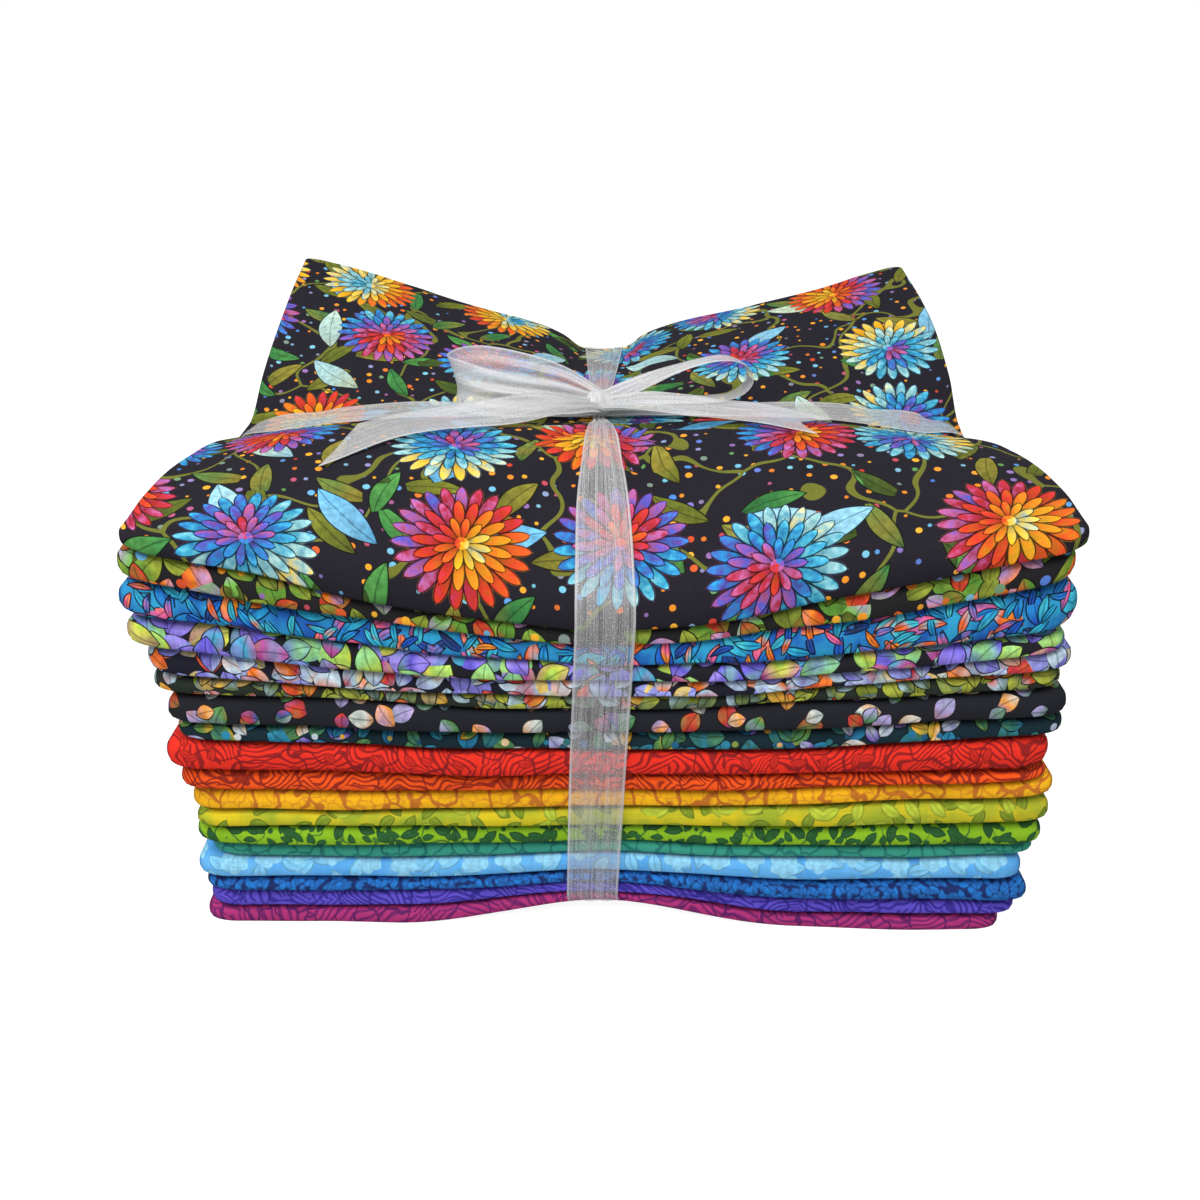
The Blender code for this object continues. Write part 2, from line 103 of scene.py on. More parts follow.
# Where the ribbon crosses under the lowest cut, the cut is raised by this much between these depths, and
# out from the middle between these places
UNDER_LIFT = 0.0021
UNDER_REACH = [0.012, 0.055]
UNDER_FRONT = 0.090
UNDER_BACK = 0.138
VALLEY_FRONT = 0.104
VALLEY_BACK = 0.124

# The cuts from the floor up: the height of the lower side of the front fold at five places across, the
# reach of both ends and of the front, and where on the fold's height its two ends are the longest
LEVEL_X = (-0.140, -0.070, 0.0, 0.070, 0.140)
Cut = namedtuple("Cut", "node left left_quarter middle right_quarter right left_end right_end front "
                        "left_nose right_nose")
CUTS = [
    Cut("cut_18_magenta", 0.0, 0.0, 8.0, 0.0, 0.0, 139.6, 140.6, 0.5, 0.40, 0.60),
    Cut("cut_17_violet", 7.2, 7.4, 12.4, 6.3, 6.8, 137.1, 145.1, 1.0, 0.60, 0.65),
    Cut("cut_16_dark_blue", 16.0, 15.5, 16.8, 13.9, 14.2, 137.0, 147.4, 0.0, 0.70, 0.30),
    Cut("cut_15_light_blue", 20.8, 20.1, 21.4, 20.4, 21.8, 139.2, 144.7, 1.5, 0.50, 0.35),
    Cut("cut_14_teal", 28.4, 27.8, 28.4, 29.6, 31.6, 133.4, 147.5, 2.5, 0.50, 0.65),
    Cut("cut_13_green", 35.4, 34.8, 34.4, 35.5, 37.2, 137.4, 148.6, 1.0, 0.60, 0.50),
    Cut("cut_12_lime", 43.2, 43.0, 42.0, 44.0, 46.4, 135.9, 149.4, 0.5, 0.35, 0.30),
    Cut("cut_11_yellow", 49.0, 48.9, 48.6, 52.1, 57.0, 136.3, 148.8, 1.5, 0.35, 0.55),
    Cut("cut_10_orange", 58.3, 57.3, 56.2, 59.4, 63.8, 138.5, 145.3, 1.0, 0.50, 0.40),
    Cut("cut_09_red", 66.2, 64.7, 62.8, 65.4, 68.8, 141.6, 144.7, 0.0, 0.55, 0.70),
    Cut("cut_08_deep_mixed", 77.6, 74.6, 71.6, 74.9, 80.2, 136.1, 147.6, 1.5, 0.60, 0.55),
    Cut("cut_07_black_ovals", 84.7, 81.2, 78.6, 82.3, 87.7, 137.6, 147.1, 0.5, 0.35, 0.50),
    Cut("cut_06_olive_petals", 95.0, 91.0, 86.2, 92.0, 97.8, 140.0, 143.2, 1.5, 0.45, 0.50),
    Cut("cut_05_pale_cells", 102.1, 95.6, 91.2, 97.2, 104.0, 140.2, 145.4, 1.0, 0.60, 0.55),
    Cut("cut_04_green_cells", 111.5, 103.2, 96.8, 102.9, 110.6, 144.3, 142.0, 0.0, 0.40, 0.55),
    Cut("cut_03_painted", 122.4, 111.8, 102.4, 108.8, 116.9, 144.0, 143.0, 0.5, 0.40, 0.60),
    Cut("cut_02_dark_cells", 134.5, 121.5, 109.2, 119.6, 133.6, 142.5, 140.2, 0.2, 0.35, 0.65),
    Cut("cut_01_top", 145.2, 127.6, 114.2, 127.4, 144.2, 139.7, 142.0, 0.0, 0.20, 0.25),
]

# The top of the bundle at a depth behind the front, at the same five places across
TopRow = namedtuple("TopRow", "depth left left_quarter middle right_quarter right")
TOP = [
    TopRow(0.0, 149.2, 136.0, 121.5, 136.0, 150.2),
    TopRow(10.0, 150.6, 145.2, 131.5, 145.2, 152.4),
    TopRow(25.0, 153.0, 153.4, 145.0, 153.4, 155.4),
    TopRow(45.0, 154.2, 158.8, 155.6, 159.0, 156.8),
    TopRow(68.0, 153.2, 160.6, 159.6, 160.8, 155.2),
    TopRow(90.0, 149.6, 157.0, 155.6, 157.0, 149.2),
    TopRow(104.0, 144.6, 152.2, 151.0, 152.2, 144.2),
    TopRow(122.0, 146.2, 153.2, 151.2, 153.2, 147.4),
    TopRow(145.0, 160.4, 160.0, 153.2, 160.6, 162.6),
    TopRow(180.0, 177.6, 168.8, 154.2, 168.0, 178.8),
    TopRow(228.6, 197.2, 177.6, 153.6, 172.6, 191.4),
]
HUMP_FROM = 80.0

# The back edge of the top at finer places across, as x and height, and how far its right edge bows out
BACK_EDGE = [
    (-140.0, 197.0), (-112.0, 189.7), (-81.0, 180.5), (-49.0, 170.7), (-29.0, 165.0), (-18.0, 160.2),
    (-8.0, 153.6), (2.0, 152.8), (12.0, 153.6), (22.0, 160.2), (39.0, 166.0), (71.0, 172.6), (102.0, 180.5),
    (140.0, 193.0),
]
BOWED_EDGE = [(20.0, 0.0), (90.0, -1.6), (122.0, 1.0), (140.0, 2.0), (180.0, 2.2), (228.6, 2.0)]

# Soft creases in the top cut: where each starts and ends, its width at the start and how deep it is there.
# A crease of less than no depth is a ridge.
Crease = namedtuple("Crease", "from_x from_depth to_x to_depth width deep")
CREASES = [
    Crease(9.0, 70.0, 44.0, 36.0, 4.5, 2.2), Crease(9.0, 52.0, 33.0, 12.0, 4.0, 1.9),
    Crease(14.0, 62.0, 40.0, 22.0, 3.5, -1.0), Crease(10.0, 84.0, 60.0, 62.0, 5.0, 1.7),
    Crease(-10.0, 72.0, -46.0, 40.0, 5.0, 1.7), Crease(-9.0, 46.0, -30.0, 10.0, 4.0, 1.4),
    Crease(-12.0, 88.0, -66.0, 70.0, 5.0, 1.4), Crease(-16.0, 60.0, -40.0, 24.0, 4.0, -0.7),
    Crease(-6.0, 132.0, -52.0, 176.0, 6.0, 2.2), Crease(8.0, 132.0, 58.0, 170.0, 6.0, 2.0),
    Crease(-5.0, 160.0, -26.0, 216.0, 5.0, 1.6), Crease(9.0, 158.0, 30.0, 214.0, 5.0, 1.6),
    Crease(-112.0, 128.0, -134.0, 200.0, 7.0, 1.2), Crease(108.0, 128.0, 128.0, 196.0, 8.0, 1.4),
    Crease(-84.0, 22.0, -130.0, 34.0, 7.0, 0.8), Crease(96.0, 30.0, 134.0, 16.0, 7.0, 0.9),
    Crease(62.0, 20.0, 104.0, 8.0, 6.0, 0.7), Crease(7.0, 45.0, 38.0, 42.0, 2.0, 2.0),
    Crease(8.0, 50.5, 38.0, 47.5, 2.8, -1.7), Crease(-9.0, 58.0, -34.0, 60.0, 2.4, 1.3),
]
CREASE_DEPTH = 1.35
CREASE_START_WIDTH = 0.8
CREASE_WIDENS = 1.2
CREASE_FADES = 0.85
UNEVEN_TOP = 0.0010
UNEVEN_LENGTH = 0.042

# How many places the sheets have: across the bundle, along a layer and round the turns
ACROSS_TOP_CUT = 150
ACROSS_CUT = 66
ALONG_TOP_LAYER = 110
ALONG_LAYER = 22
FRONT_TURN_STEPS = 16
INNER_TURN_STEPS = 6

# The depths at which the levels are read, from a little before the front plane to the back
FINE_DEPTHS = np.linspace(-0.006, BUNDLE_DEPTH, 236)

# How much closer together the places are towards both ends: across a cut, and along a layer
CLOSER_ACROSS = 0.62
CLOSER_ALONG = 0.75


def mix(first, second, part):
    """The value that lies the given part of the way from the first to the second."""
    return first + (second - first) * part


def smooth_rows(places, rows, at):
    """Rows of values read at any places, on a smooth curve that passes no row's values by far."""
    places = np.asarray(places, float)
    rows = np.asarray(rows, float)
    at = np.asarray(at, float)
    steps = np.diff(places)[:, None]
    rises = np.diff(rows, axis=0) / steps
    slopes = np.zeros_like(rows)
    slopes[0] = rises[0]
    slopes[-1] = rises[-1]
    before, after = rises[:-1], rises[1:]
    same_way = before * after > 0.0
    safe = np.where(same_way, before + after, 1.0)
    slopes[1:-1] = np.where(same_way, 2.0 * before * after / safe, 0.0)
    row = np.clip(np.searchsorted(places, at) - 1, 0, len(steps) - 1)
    step = steps[row]
    part = ((at - places[row]) / step[:, 0])[:, None]
    inside = np.clip(part, 0.0, 1.0)
    start, end = rows[row], rows[row + 1]
    curve = (start * (1.0 + 2.0 * inside) * (1.0 - inside) ** 2 + end * inside ** 2 * (3.0 - 2.0 * inside)
             + slopes[row] * step * inside * (1.0 - inside) ** 2
             - slopes[row + 1] * step * inside ** 2 * (1.0 - inside))
    outside = part - inside
    return curve + outside * step * np.where(outside < 0.0, slopes[row], slopes[row + 1])


def slow_wave(places, seed, length=WAVE_LENGTH):
    """An uneven wave from about -1 to 1 along the places, the same on each run."""
    return np.array([2.0 * noise.noise(Vector((place / length, seed * 3.71, 0.5))) for place in places])


def top_heights(xs, depths):
    """The top of the bundle: one row for each depth and one column for each x."""
    by_depth = np.array([row[1:] for row in TOP]) * MM
    at_depths = smooth_rows([row.depth * MM for row in TOP], by_depth, depths)
    heights = smooth_rows(LEVEL_X, at_depths.T, xs).T
    finer = smooth_rows([x * MM for x, _ in BACK_EDGE], [[height * MM] for _, height in BACK_EDGE], xs)[:, 0]
    plain = smooth_rows(LEVEL_X, by_depth[-1][:, None], xs)[:, 0]
    part = np.clip((np.asarray(depths, float) - VALLEY_BACK) / (BUNDLE_DEPTH - VALLEY_BACK), 0.0, 1.0)
    return heights + (finer - plain) * part[:, None] ** 0.9


def crease_heights(xs, depths):
    """How far the creases and the slow waves of the top cut lie over its smooth shape."""
    x, depth = np.meshgrid(xs, depths)
    total = UNEVEN_TOP * np.array([[noise.noise(Vector((place / UNEVEN_LENGTH, back / UNEVEN_LENGTH, 4.2)))
                                    for place in xs] for back in depths])
    for crease in CREASES:
        start_x, start_depth = crease.from_x * MM, crease.from_depth * MM
        way_x, way_depth = crease.to_x * MM - start_x, crease.to_depth * MM - start_depth
        part = ((x - start_x) * way_x + (depth - start_depth) * way_depth) / (way_x ** 2 + way_depth ** 2)
        part = np.clip(part, 0.0, 1.0)
        off = np.hypot(x - start_x - part * way_x, depth - start_depth - part * way_depth)
        spread = crease.width * MM * (CREASE_START_WIDTH + CREASE_WIDENS * part)
        deep = CREASE_DEPTH * crease.deep * MM * (1.0 - CREASE_FADES * part)
        total -= deep * np.exp(-(off / spread) ** 2)
    return total


def level_heights(index, xs, depths):
    """The level under a cut. The higher the level is, the more it follows the top of the bundle."""
    depths = np.asarray(depths, float)
    if index == len(CUTS):
        return top_heights(xs, depths) + crease_heights(xs, depths)
    cut = CUTS[index]
    row = np.array([[cut.left], [cut.left_quarter], [cut.middle], [cut.right_quarter], [cut.right]])
    front = smooth_rows(LEVEL_X, row * MM, xs)[:, 0]
    if index > 0:
        front = front + LEVEL_WAVE * slow_wave(xs, index)
    mean = (cut.left + cut.right) / 2.0
    highest = TOP[0].left
    hump_share = max(0.0, (mean - HUMP_FROM) / (highest - HUMP_FROM))
    back_share = (mean / highest) ** 2
    valley = top_heights(xs, [VALLEY_BACK])
    rise = top_heights(xs, [BUNDLE_DEPTH]) - valley
    part = np.clip((depths - VALLEY_BACK) / (BUNDLE_DEPTH - VALLEY_BACK), 0.0, 1.0)[:, None]
    rise = rise * part
    hump = top_heights(xs, depths) - top_heights(xs, [0.0]) - rise
    heights = front + hump_share * hump + back_share * rise
    if index == 0:
        over_middle = np.interp(np.abs(xs), UNDER_REACH, [0.0, UNDER_LIFT])
        over_ribbon = np.interp(depths, [UNDER_FRONT, VALLEY_FRONT, VALLEY_BACK, UNDER_BACK],
                                [0.0, 1.0, 1.0, 0.0])
        heights = heights + over_ribbon[:, None] * over_middle
    return heights


def front_depths(index, xs):
    """How far behind the front plane the fold of a cut stands, for each x."""
    cut = CUTS[index]
    pulled = PULLED_IN * np.exp(-(xs / PULLED_REACH * PULLED_SHARPNESS) ** 2)
    lowness = 1.0 - min(1.0, cut.right / TWIST_HEIGHT)
    twist = TWIST_FORWARD * lowness * np.maximum(0.0, xs / LEVEL_X[-1])
    return cut.front * MM + pulled - twist + FRONT_WAVE * slow_wave(xs, index + 40.0)


def closer_at_ends(count, share):
    """Places from 0 to 1, closer together towards both ends by the given share."""
    evenly = np.linspace(-1.0, 1.0, count)
    return (1.0 + mix(evenly, np.sin(evenly * math.pi / 2.0), share)) / 2.0


def stations_across(cut, count):
    """The places across a cut, and how far each is into a rounded end."""
    left, right = -cut.left_end * MM, cut.right_end * MM
    xs = mix(left, right, closer_at_ends(count, CLOSER_ACROSS))
    into_left = np.clip((left + ROUNDED_END - xs) / ROUNDED_END, 0.0, 1.0)
    into_right = np.clip((xs - right + ROUNDED_END) / ROUNDED_END, 0.0, 1.0)
    return xs, into_left, into_right


def fold_levels(index, xs, nose, rounding):
    """The heights of a cut's lowest and highest layer, by fine depth and place across."""
    half = CLOTH_THICKNESS / 2.0
    gap = GAP_BETWEEN_CUTS + FRONT_GAP * np.exp(-np.maximum(FINE_DEPTHS, 0.0) / FRONT_GAP_REACH)[:, None]
    gap = gap * (index < len(CUTS) - 1)
    low = level_heights(index, xs, FINE_DEPTHS) + half
    high = level_heights(index + 1, xs, FINE_DEPTHS) - gap - half
    drawn = np.minimum(high - low, END_HEIGHT)
    at_nose = mix(low, high, nose)
    low = mix(low, at_nose - drawn * nose, rounding)
    high = mix(high, at_nose + drawn * (1.0 - nose), rounding)
    return low, high


def uneven_ends(index, xs, into, depths):
    """The x of each point of a cut. Both ends wave, and the right end of the upper two bows with the top."""
    edge = np.array([[noise.noise(Vector((depth / END_WAVE_LENGTH, row / END_WAVE_ROWS, index * 1.7)))
                      for depth in line] for row, line in enumerate(depths[:, [0, -1]])])
    uneven = np.where(xs < 0.0, edge[:, :1], edge[:, 1:])
    out = np.broadcast_to(xs, depths.shape) + np.sign(xs) * into ** 2 * END_WAVE * uneven
    if index >= len(CUTS) - 2:
        bow = np.interp(depths, [depth * MM for depth, _ in BOWED_EDGE], [out * MM for _, out in BOWED_EDGE])
        share = np.clip((xs - LEVEL_X[3]) / (LEVEL_X[4] - LEVEL_X[3]), 0.0, 1.0) ** 2
        out = out + bow * share[None, :]
    return out


def folded_sheet(index, count_across, count_top):
    """The middle surface of a folded cut: the x, depth and height of its points and their way along it.

    The sheet starts at the back between its other layers, runs forward and turns round the inner front
    fold, runs back, turns at the back, runs forward under everything, and comes back over the top.
    """
    cut = CUTS[index]
    xs, into_left, into_right = stations_across(cut, count_across)
    into = np.maximum(into_left, into_right)
    rounding = 1.0 - np.sqrt(1.0 - into ** 2 * ROUNDED_SHARE)
    nose = np.where(into_left > 0.0, cut.left_nose, cut.right_nose)
    low, high = fold_levels(index, xs, nose, rounding)
    front = front_depths(index, xs) + END_STEP_BACK * rounding
    half = CLOTH_THICKNESS / 2.0

    def layer(number, depths):
        """Heights of a layer at depths given per station, as rows of depths."""
        out = np.empty_like(depths)
        share = number / (LAYERS - 1.0)
        for column in range(len(xs)):
            heights = mix(low[:, column], high[:, column], share)
            out[:, column] = np.interp(depths[:, column], FINE_DEPTHS, heights)
        return out

    at_front = front[None, :]
    at_back = np.full((1, len(xs)), BUNDLE_DEPTH)
    height = (layer(3, at_front) - layer(0, at_front))[0]
    outer = np.minimum(0.50 * height, FOLD_LEAN)
    centre = front + half + outer
    spacing = height / (LAYERS - 1.0)
    back_height = (layer(1, at_back) - layer(0, at_back))[0]
    back_turn = BUNDLE_DEPTH - half - back_height / 2.0

    def run(number, count, start, end):
        """The points of one layer from one depth to another."""
        depths = mix(start[None, :], end[None, :], closer_at_ends(count, CLOSER_ALONG)[:, None])
        return depths, layer(number, depths)

    def turn(below, above, middle, reach, steps, upwards):
        """The points round a fold, from one layer to the other. reach is negative where it faces front."""
        angles = np.linspace(0.0, math.pi, steps + 2)[1:-1][:, None]
        past = np.maximum(0.0, -np.cos(angles))
        if upwards:
            out = np.where(past > 0.0, (1.0 - past ** FOLD_BLUNTNESS) ** FOLD_SHOULDER, np.sin(angles))
            part = np.where(past > 0.0, mix(NOSE_HEIGHT, 1.0, past), NOSE_HEIGHT * (1.0 - np.cos(angles)))
        else:
            out = np.sin(angles)
            part = (1.0 + np.cos(angles)) / 2.0
        depths = middle[None, :] + reach[None, :] * out
        return depths, mix(layer(below, depths), layer(above, depths), part)

    inner_end = BUNDLE_DEPTH - INNER_EDGE + INNER_EDGE_WAVE * slow_wave(xs, index + 11.0)
    outer_end = BUNDLE_DEPTH - OUTER_EDGE - OUTER_EDGE_WAVE * np.abs(slow_wave(xs, index + 23.0))
    inner_front = centre - spacing * 0.1
    runs = [
        run(2, ALONG_LAYER, inner_end, inner_front),
        turn(1, 2, inner_front, -spacing / 2.0, INNER_TURN_STEPS, False),
        run(1, ALONG_LAYER, inner_front, back_turn),
        turn(0, 1, back_turn, back_height / 2.0, INNER_TURN_STEPS, False),
        run(0, ALONG_LAYER, back_turn, centre),
        turn(0, 3, centre, -outer, FRONT_TURN_STEPS, True),
        run(3, count_top, centre, outer_end),
    ]
    depths = np.vstack([part[0] for part in runs])
    heights = np.vstack([part[1] for part in runs])
    front_row = sum(len(part[0]) for part in runs[:5]) + FRONT_TURN_STEPS // 2
    lengths = np.hypot(np.diff(depths, axis=0), np.diff(heights, axis=0))
    along = np.vstack([np.zeros(len(xs)), np.cumsum(lengths, axis=0)])
    return uneven_ends(index, xs, into, depths), depths, heights, along - along[front_row]


def top_skin():
    """The outer side of the top cut from its nose to the back, as x by column, depths and heights."""
    xs, depths, heights, _ = folded_sheet(len(CUTS) - 1, ACROSS_TOP_CUT, ALONG_TOP_LAYER)
    first = len(depths) - ALONG_TOP_LAYER - FRONT_TURN_STEPS // 2
    return xs[0], depths[first:], heights[first:]


def deselect_all():
    """Leaves nothing selected, so that an operator acts only on what is added next."""
    bpy.ops.object.select_all(action="DESELECT")


def grid_object(name, points, uvs):
    """A cloth grid with the given rows of points and UVs, from one grid primitive that is reshaped."""
    rows, columns = points.shape[:2]
    deselect_all()
    bpy.ops.mesh.primitive_grid_add(x_subdivisions=columns - 1, y_subdivisions=rows - 1, size=1.0)
    sheet = bpy.context.object
    sheet.name = name
    sheet.data.name = name
    mesh = sheet.data
    mesh.vertices.foreach_set("co", points.reshape(-1, 3).astype(np.float32).ravel())
    corners = np.empty(len(mesh.loops), np.int32)
    mesh.loops.foreach_get("vertex_index", corners)
    mesh.uv_layers[0].data.foreach_set("uv", uvs.reshape(-1, 2)[corners].astype(np.float32).ravel())
    mesh.update()
    bpy.ops.object.shade_smooth()
    return sheet


def thicken(sheet, thickness):
    """Gives a sheet its thickness, half to each side."""
    bpy.context.view_layer.objects.active = sheet
    wall = sheet.modifiers.new("cloth thickness", "SOLIDIFY")
    wall.thickness = thickness
    wall.offset = 0.0
    bpy.ops.object.modifier_apply(modifier=wall.name)


def finish_piece(piece, node):
    """Lets a piece ride on the bundle and stand for its solid."""
    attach(piece, "root")
    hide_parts(node)


def make_cut(index):
    """One folded cut as a thin sheet on the folds of its solid."""
    cut = CUTS[index]
    is_top = index == len(CUTS) - 1
    across = ACROSS_TOP_CUT if is_top else ACROSS_CUT
    along_top = ALONG_TOP_LAYER if is_top else ALONG_LAYER
    xs, depths, heights, along = folded_sheet(index, across, along_top)
    points = np.stack([xs + MIDDLE.x, depths + FRONT_Y, heights], axis=-1)
    uvs = np.stack([xs, along], axis=-1)
    sheet = grid_object(cut.node.replace("cut_", "cloth_"), points, uvs)
    thicken(sheet, CLOTH_THICKNESS)
    finish_piece(sheet, cut.node)
    return sheet


# The ribbon: its size, its places across as shares of half its width, its pleats and how it flutters
RIBBON_WIDTH = 0.0185
RIBBON_THICKNESS = 0.00014
RIBBON_GAP = 0.0006
RIBBON_MESH = 0.0007
ACROSS_RIBBON = 24
ACROSS_PARTS = np.linspace(-1.0, 1.0, ACROSS_RIBBON + 1)
STEPS_ALONG_BOW = 10
PLEATS = 3.0
DEEPEST_PLEAT = 0.0016
MOST_GATHERED = 3.5
KNOT_GATHER = 2.5
BAND_LIFT = 0.0009
DRIFT_LENGTH = 0.03
FLUTTER = 0.0006
FLUTTER_LENGTH = 0.016

# The band over the top and front: its middle and width by depth on the top, and by height down the front
BandRow = namedtuple("BandRow", "at shift width")
TOP_BAND = [
    BandRow(3.0, 1.6, 18.5), BandRow(12.0, 1.4, 18.0), BandRow(28.0, 0.9, 16.6), BandRow(45.0, 0.6, 13.4),
    BandRow(62.0, 0.5, 11.0), BandRow(80.0, 0.3, 8.0), BandRow(96.0, -0.2, 5.0), BandRow(116.0, -0.4, 4.6),
    BandRow(132.0, 0.0, 6.4), BandRow(160.0, 0.8, 10.6), BandRow(200.0, 1.6, 15.8), BandRow(229.0, 2.0, 18.5),
]
FRONT_BAND = [BandRow(8.0, -2.9, 17.6), BandRow(60.0, -1.0, 18.4), BandRow(114.0, 1.4, 18.5)]
SIDE_BAND = [
    BandRow(-112.0, 0.4, 18.5), BandRow(-60.0, 0.0, 17.0), BandRow(-34.0, -0.4, 12.5),
    BandRow(-12.0, -0.2, 7.0), BandRow(12.0, -0.2, 7.0), BandRow(34.0, -0.4, 12.0),
    BandRow(60.0, 0.0, 17.0), BandRow(112.0, 0.6, 18.5),
]
SIDE_BAND_DEPTH = 114.6

# In metres again: the depth where the band over the top starts and ends, and its places on each plain side
KNOT_DEPTH = 0.116
PLACES_A_SIDE = 60

# The band side to side: how far within the ends the cuts are read, how far out it lies flat on the top
# and below, the steps at which both are read, and the even step of its points. A corner has the place
# where its height is read and how far it stays within the end.
WITHIN_END = 0.004
LYING_REACH = 0.128
STEP_ON_TOP = 0.004
STEP_BELOW = 0.008
EVEN_STEP = 0.0026
TOP_CORNER = (0.136, 0.003)
LOW_CORNER = (0.13, 0.002)
ON_TOP_ABOVE = 0.13
BELOW_SHIFT = 0.0005

# The bow: points along the middle of each strip, the way its width runs there and that width, in
# millimetres from the bundle's middle and the floor
Strand = namedtuple("Strand", "x y z across_x across_y across_z width")
KNOT_CENTRE = (-0.4, 0.2, 156.4)
KNOT_RADII = (5.9, 5.0, 5.4)
KNOT_PLACES = (64, 40)
RIDGES = 7.0
RIDGE_HEIGHT = 0.09
KNOT_UNEVEN = 0.20
LEFT_LOOP = [
    Strand(-1.0, 1.0, 157.5, 0.0, 0.35, 0.94, 8.5),
    Strand(-16.0, 4.5, 163.0, 0.0, 0.35, 0.94, 14.0),
    Strand(-33.0, 7.0, 166.6, 0.0, 0.30, 0.95, 16.5),
    Strand(-48.0, 5.5, 168.4, -0.1, 0.25, 0.96, 18.0),
    Strand(-55.0, -1.5, 166.8, -0.15, 0.20, 0.97, 18.5),
    Strand(-50.0, -8.5, 164.8, -0.1, 0.30, 0.95, 18.0),
    Strand(-35.0, -9.5, 162.2, 0.0, 0.45, 0.89, 16.5),
    Strand(-17.0, -5.5, 160.0, 0.0, 0.55, 0.83, 14.0),
    Strand(-1.0, -1.5, 156.5, 0.0, 0.60, 0.80, 8.5),
]
RIGHT_LOOP = [
    Strand(1.0, 1.0, 158.0, 0.0, 0.75, 0.50, 8.0),
    Strand(15.0, 1.0, 164.4, 0.0, 0.92, 0.20, 13.0),
    Strand(31.0, 1.0, 170.4, 0.0, 1.0, -0.09, 16.0),
    Strand(46.0, 0.5, 174.0, 0.0, 1.0, -0.09, 18.0),
    Strand(55.0, 0.0, 171.6, 0.0, 1.0, -0.09, 18.5),
    Strand(57.0, 0.0, 165.5, 0.0, 1.0, -0.10, 18.5),
    Strand(52.0, 0.0, 160.2, 0.0, 1.0, -0.11, 18.5),
    Strand(40.0, 0.0, 158.2, 0.0, 1.0, -0.12, 17.0),
    Strand(25.0, 0.0, 158.0, 0.0, 1.0, -0.12, 13.0),
    Strand(12.0, 0.0, 158.2, 0.0, 0.90, 0.20, 10.0),
    Strand(1.0, 0.0, 157.0, 0.0, 0.75, 0.50, 8.0),
]
LEFT_TAIL = [
    Strand(-1.0, -4.0, 157.0, -0.50, 0.80, 0.30, 8.5),
    Strand(-15.0, -19.0, 162.0, -0.50, 0.80, 0.30, 13.5),
    Strand(-34.0, -36.0, 164.0, -0.30, 0.88, 0.28, 17.0),
    Strand(-55.0, -43.0, 163.4, -0.25, 0.93, 0.14, 18.5),
    Strand(-71.0, -52.0, 162.6, -0.50, 0.84, 0.10, 18.5),
    Strand(-85.5, -64.0, 160.4, -0.57, 0.82, 0.12, 18.5),
]
RIGHT_TAIL = [
    Strand(1.0, -4.0, 157.0, 0.50, 0.80, 0.30, 8.5),
    Strand(17.0, -18.0, 162.0, 0.50, 0.84, 0.24, 13.5),
    Strand(36.0, -31.0, 163.6, 0.32, 0.94, 0.12, 17.5),
    Strand(56.0, -38.0, 163.4, 0.30, 0.95, 0.07, 18.5),
    Strand(77.0, -49.0, 162.0, 0.48, 0.87, 0.03, 18.5),
]
TAIL_SLANT = -0.0124
TAIL_NOTCH = 0.009
CUT_AWAY_LENGTH = 0.024


def smooth_strands(rows):
    """Values along a smooth curve through the rows of a strip: many rows of seven numbers."""
    made = []
    for number in range(len(rows) - 1):
        before = np.array(rows[max(0, number - 1)])
        start = np.array(rows[number])
        end = np.array(rows[number + 1])
        after = np.array(rows[min(len(rows) - 1, number + 2)])
        for step in range(STEPS_ALONG_BOW):
            part = step / STEPS_ALONG_BOW
            value = start * 2.0 + (end - before) * part
            value = value + (before * 2.0 - start * 5.0 + end * 4.0 - after) * part ** 2
            value = value + (start * 3.0 - before - end * 3.0 + after) * part ** 3
            made.append(value * 0.5)
    made.append(np.array(rows[-1]))
    return np.array(made)


def unit(vectors):
    """Each row scaled to length one."""
    return vectors / np.maximum(np.linalg.norm(vectors, axis=-1, keepdims=True), 1e-9)


def pleats_across(travelled, widths, seed):
    """How far the pleats stand off a strip: the narrower it is drawn, the deeper they are."""
    spare = np.sqrt(np.maximum(0.0, RIBBON_WIDTH / widths - 1.0))
    deep = np.minimum(widths / (math.pi * PLEATS) * spare, DEEPEST_PLEAT)
    drift = slow_wave(travelled, seed, DRIFT_LENGTH)
    return deep[:, None] * np.sin(math.pi * PLEATS * ACROSS_PARTS[None, :] + 1.3 * drift[:, None] + seed)


def strip_points(centres, acrosses, widths, slant=0.0, notch=0.0, seed=0.0):
    """The points of a gathered ribbon strip: the narrower it is, the deeper its pleats are."""
    along = unit(np.gradient(centres, axis=0))
    across = unit(acrosses - along * np.sum(acrosses * along, axis=1, keepdims=True))
    facing = np.cross(along, across)
    part = ACROSS_PARTS[None, :]
    travelled = travelled_along(centres)
    to_end = travelled[-1] - travelled
    wave = pleats_across(travelled, widths, seed)
    flutter = FLUTTER * np.array([[noise.noise(Vector((place / FLUTTER_LENGTH, share * 1.3, seed)))
                                   for share in ACROSS_PARTS] for place in travelled])
    cut_away = np.clip(1.0 - to_end / CUT_AWAY_LENGTH, 0.0, 1.0)
    shift = cut_away[:, None] * (slant * part - notch * (1.0 - np.abs(part)))
    return (centres[:, None, :] + across[:, None, :] * (part * widths[:, None] / 2.0)[..., None]
            + facing[:, None, :] * (wave + flutter)[..., None]
            + along[:, None, :] * shift[..., None]), travelled


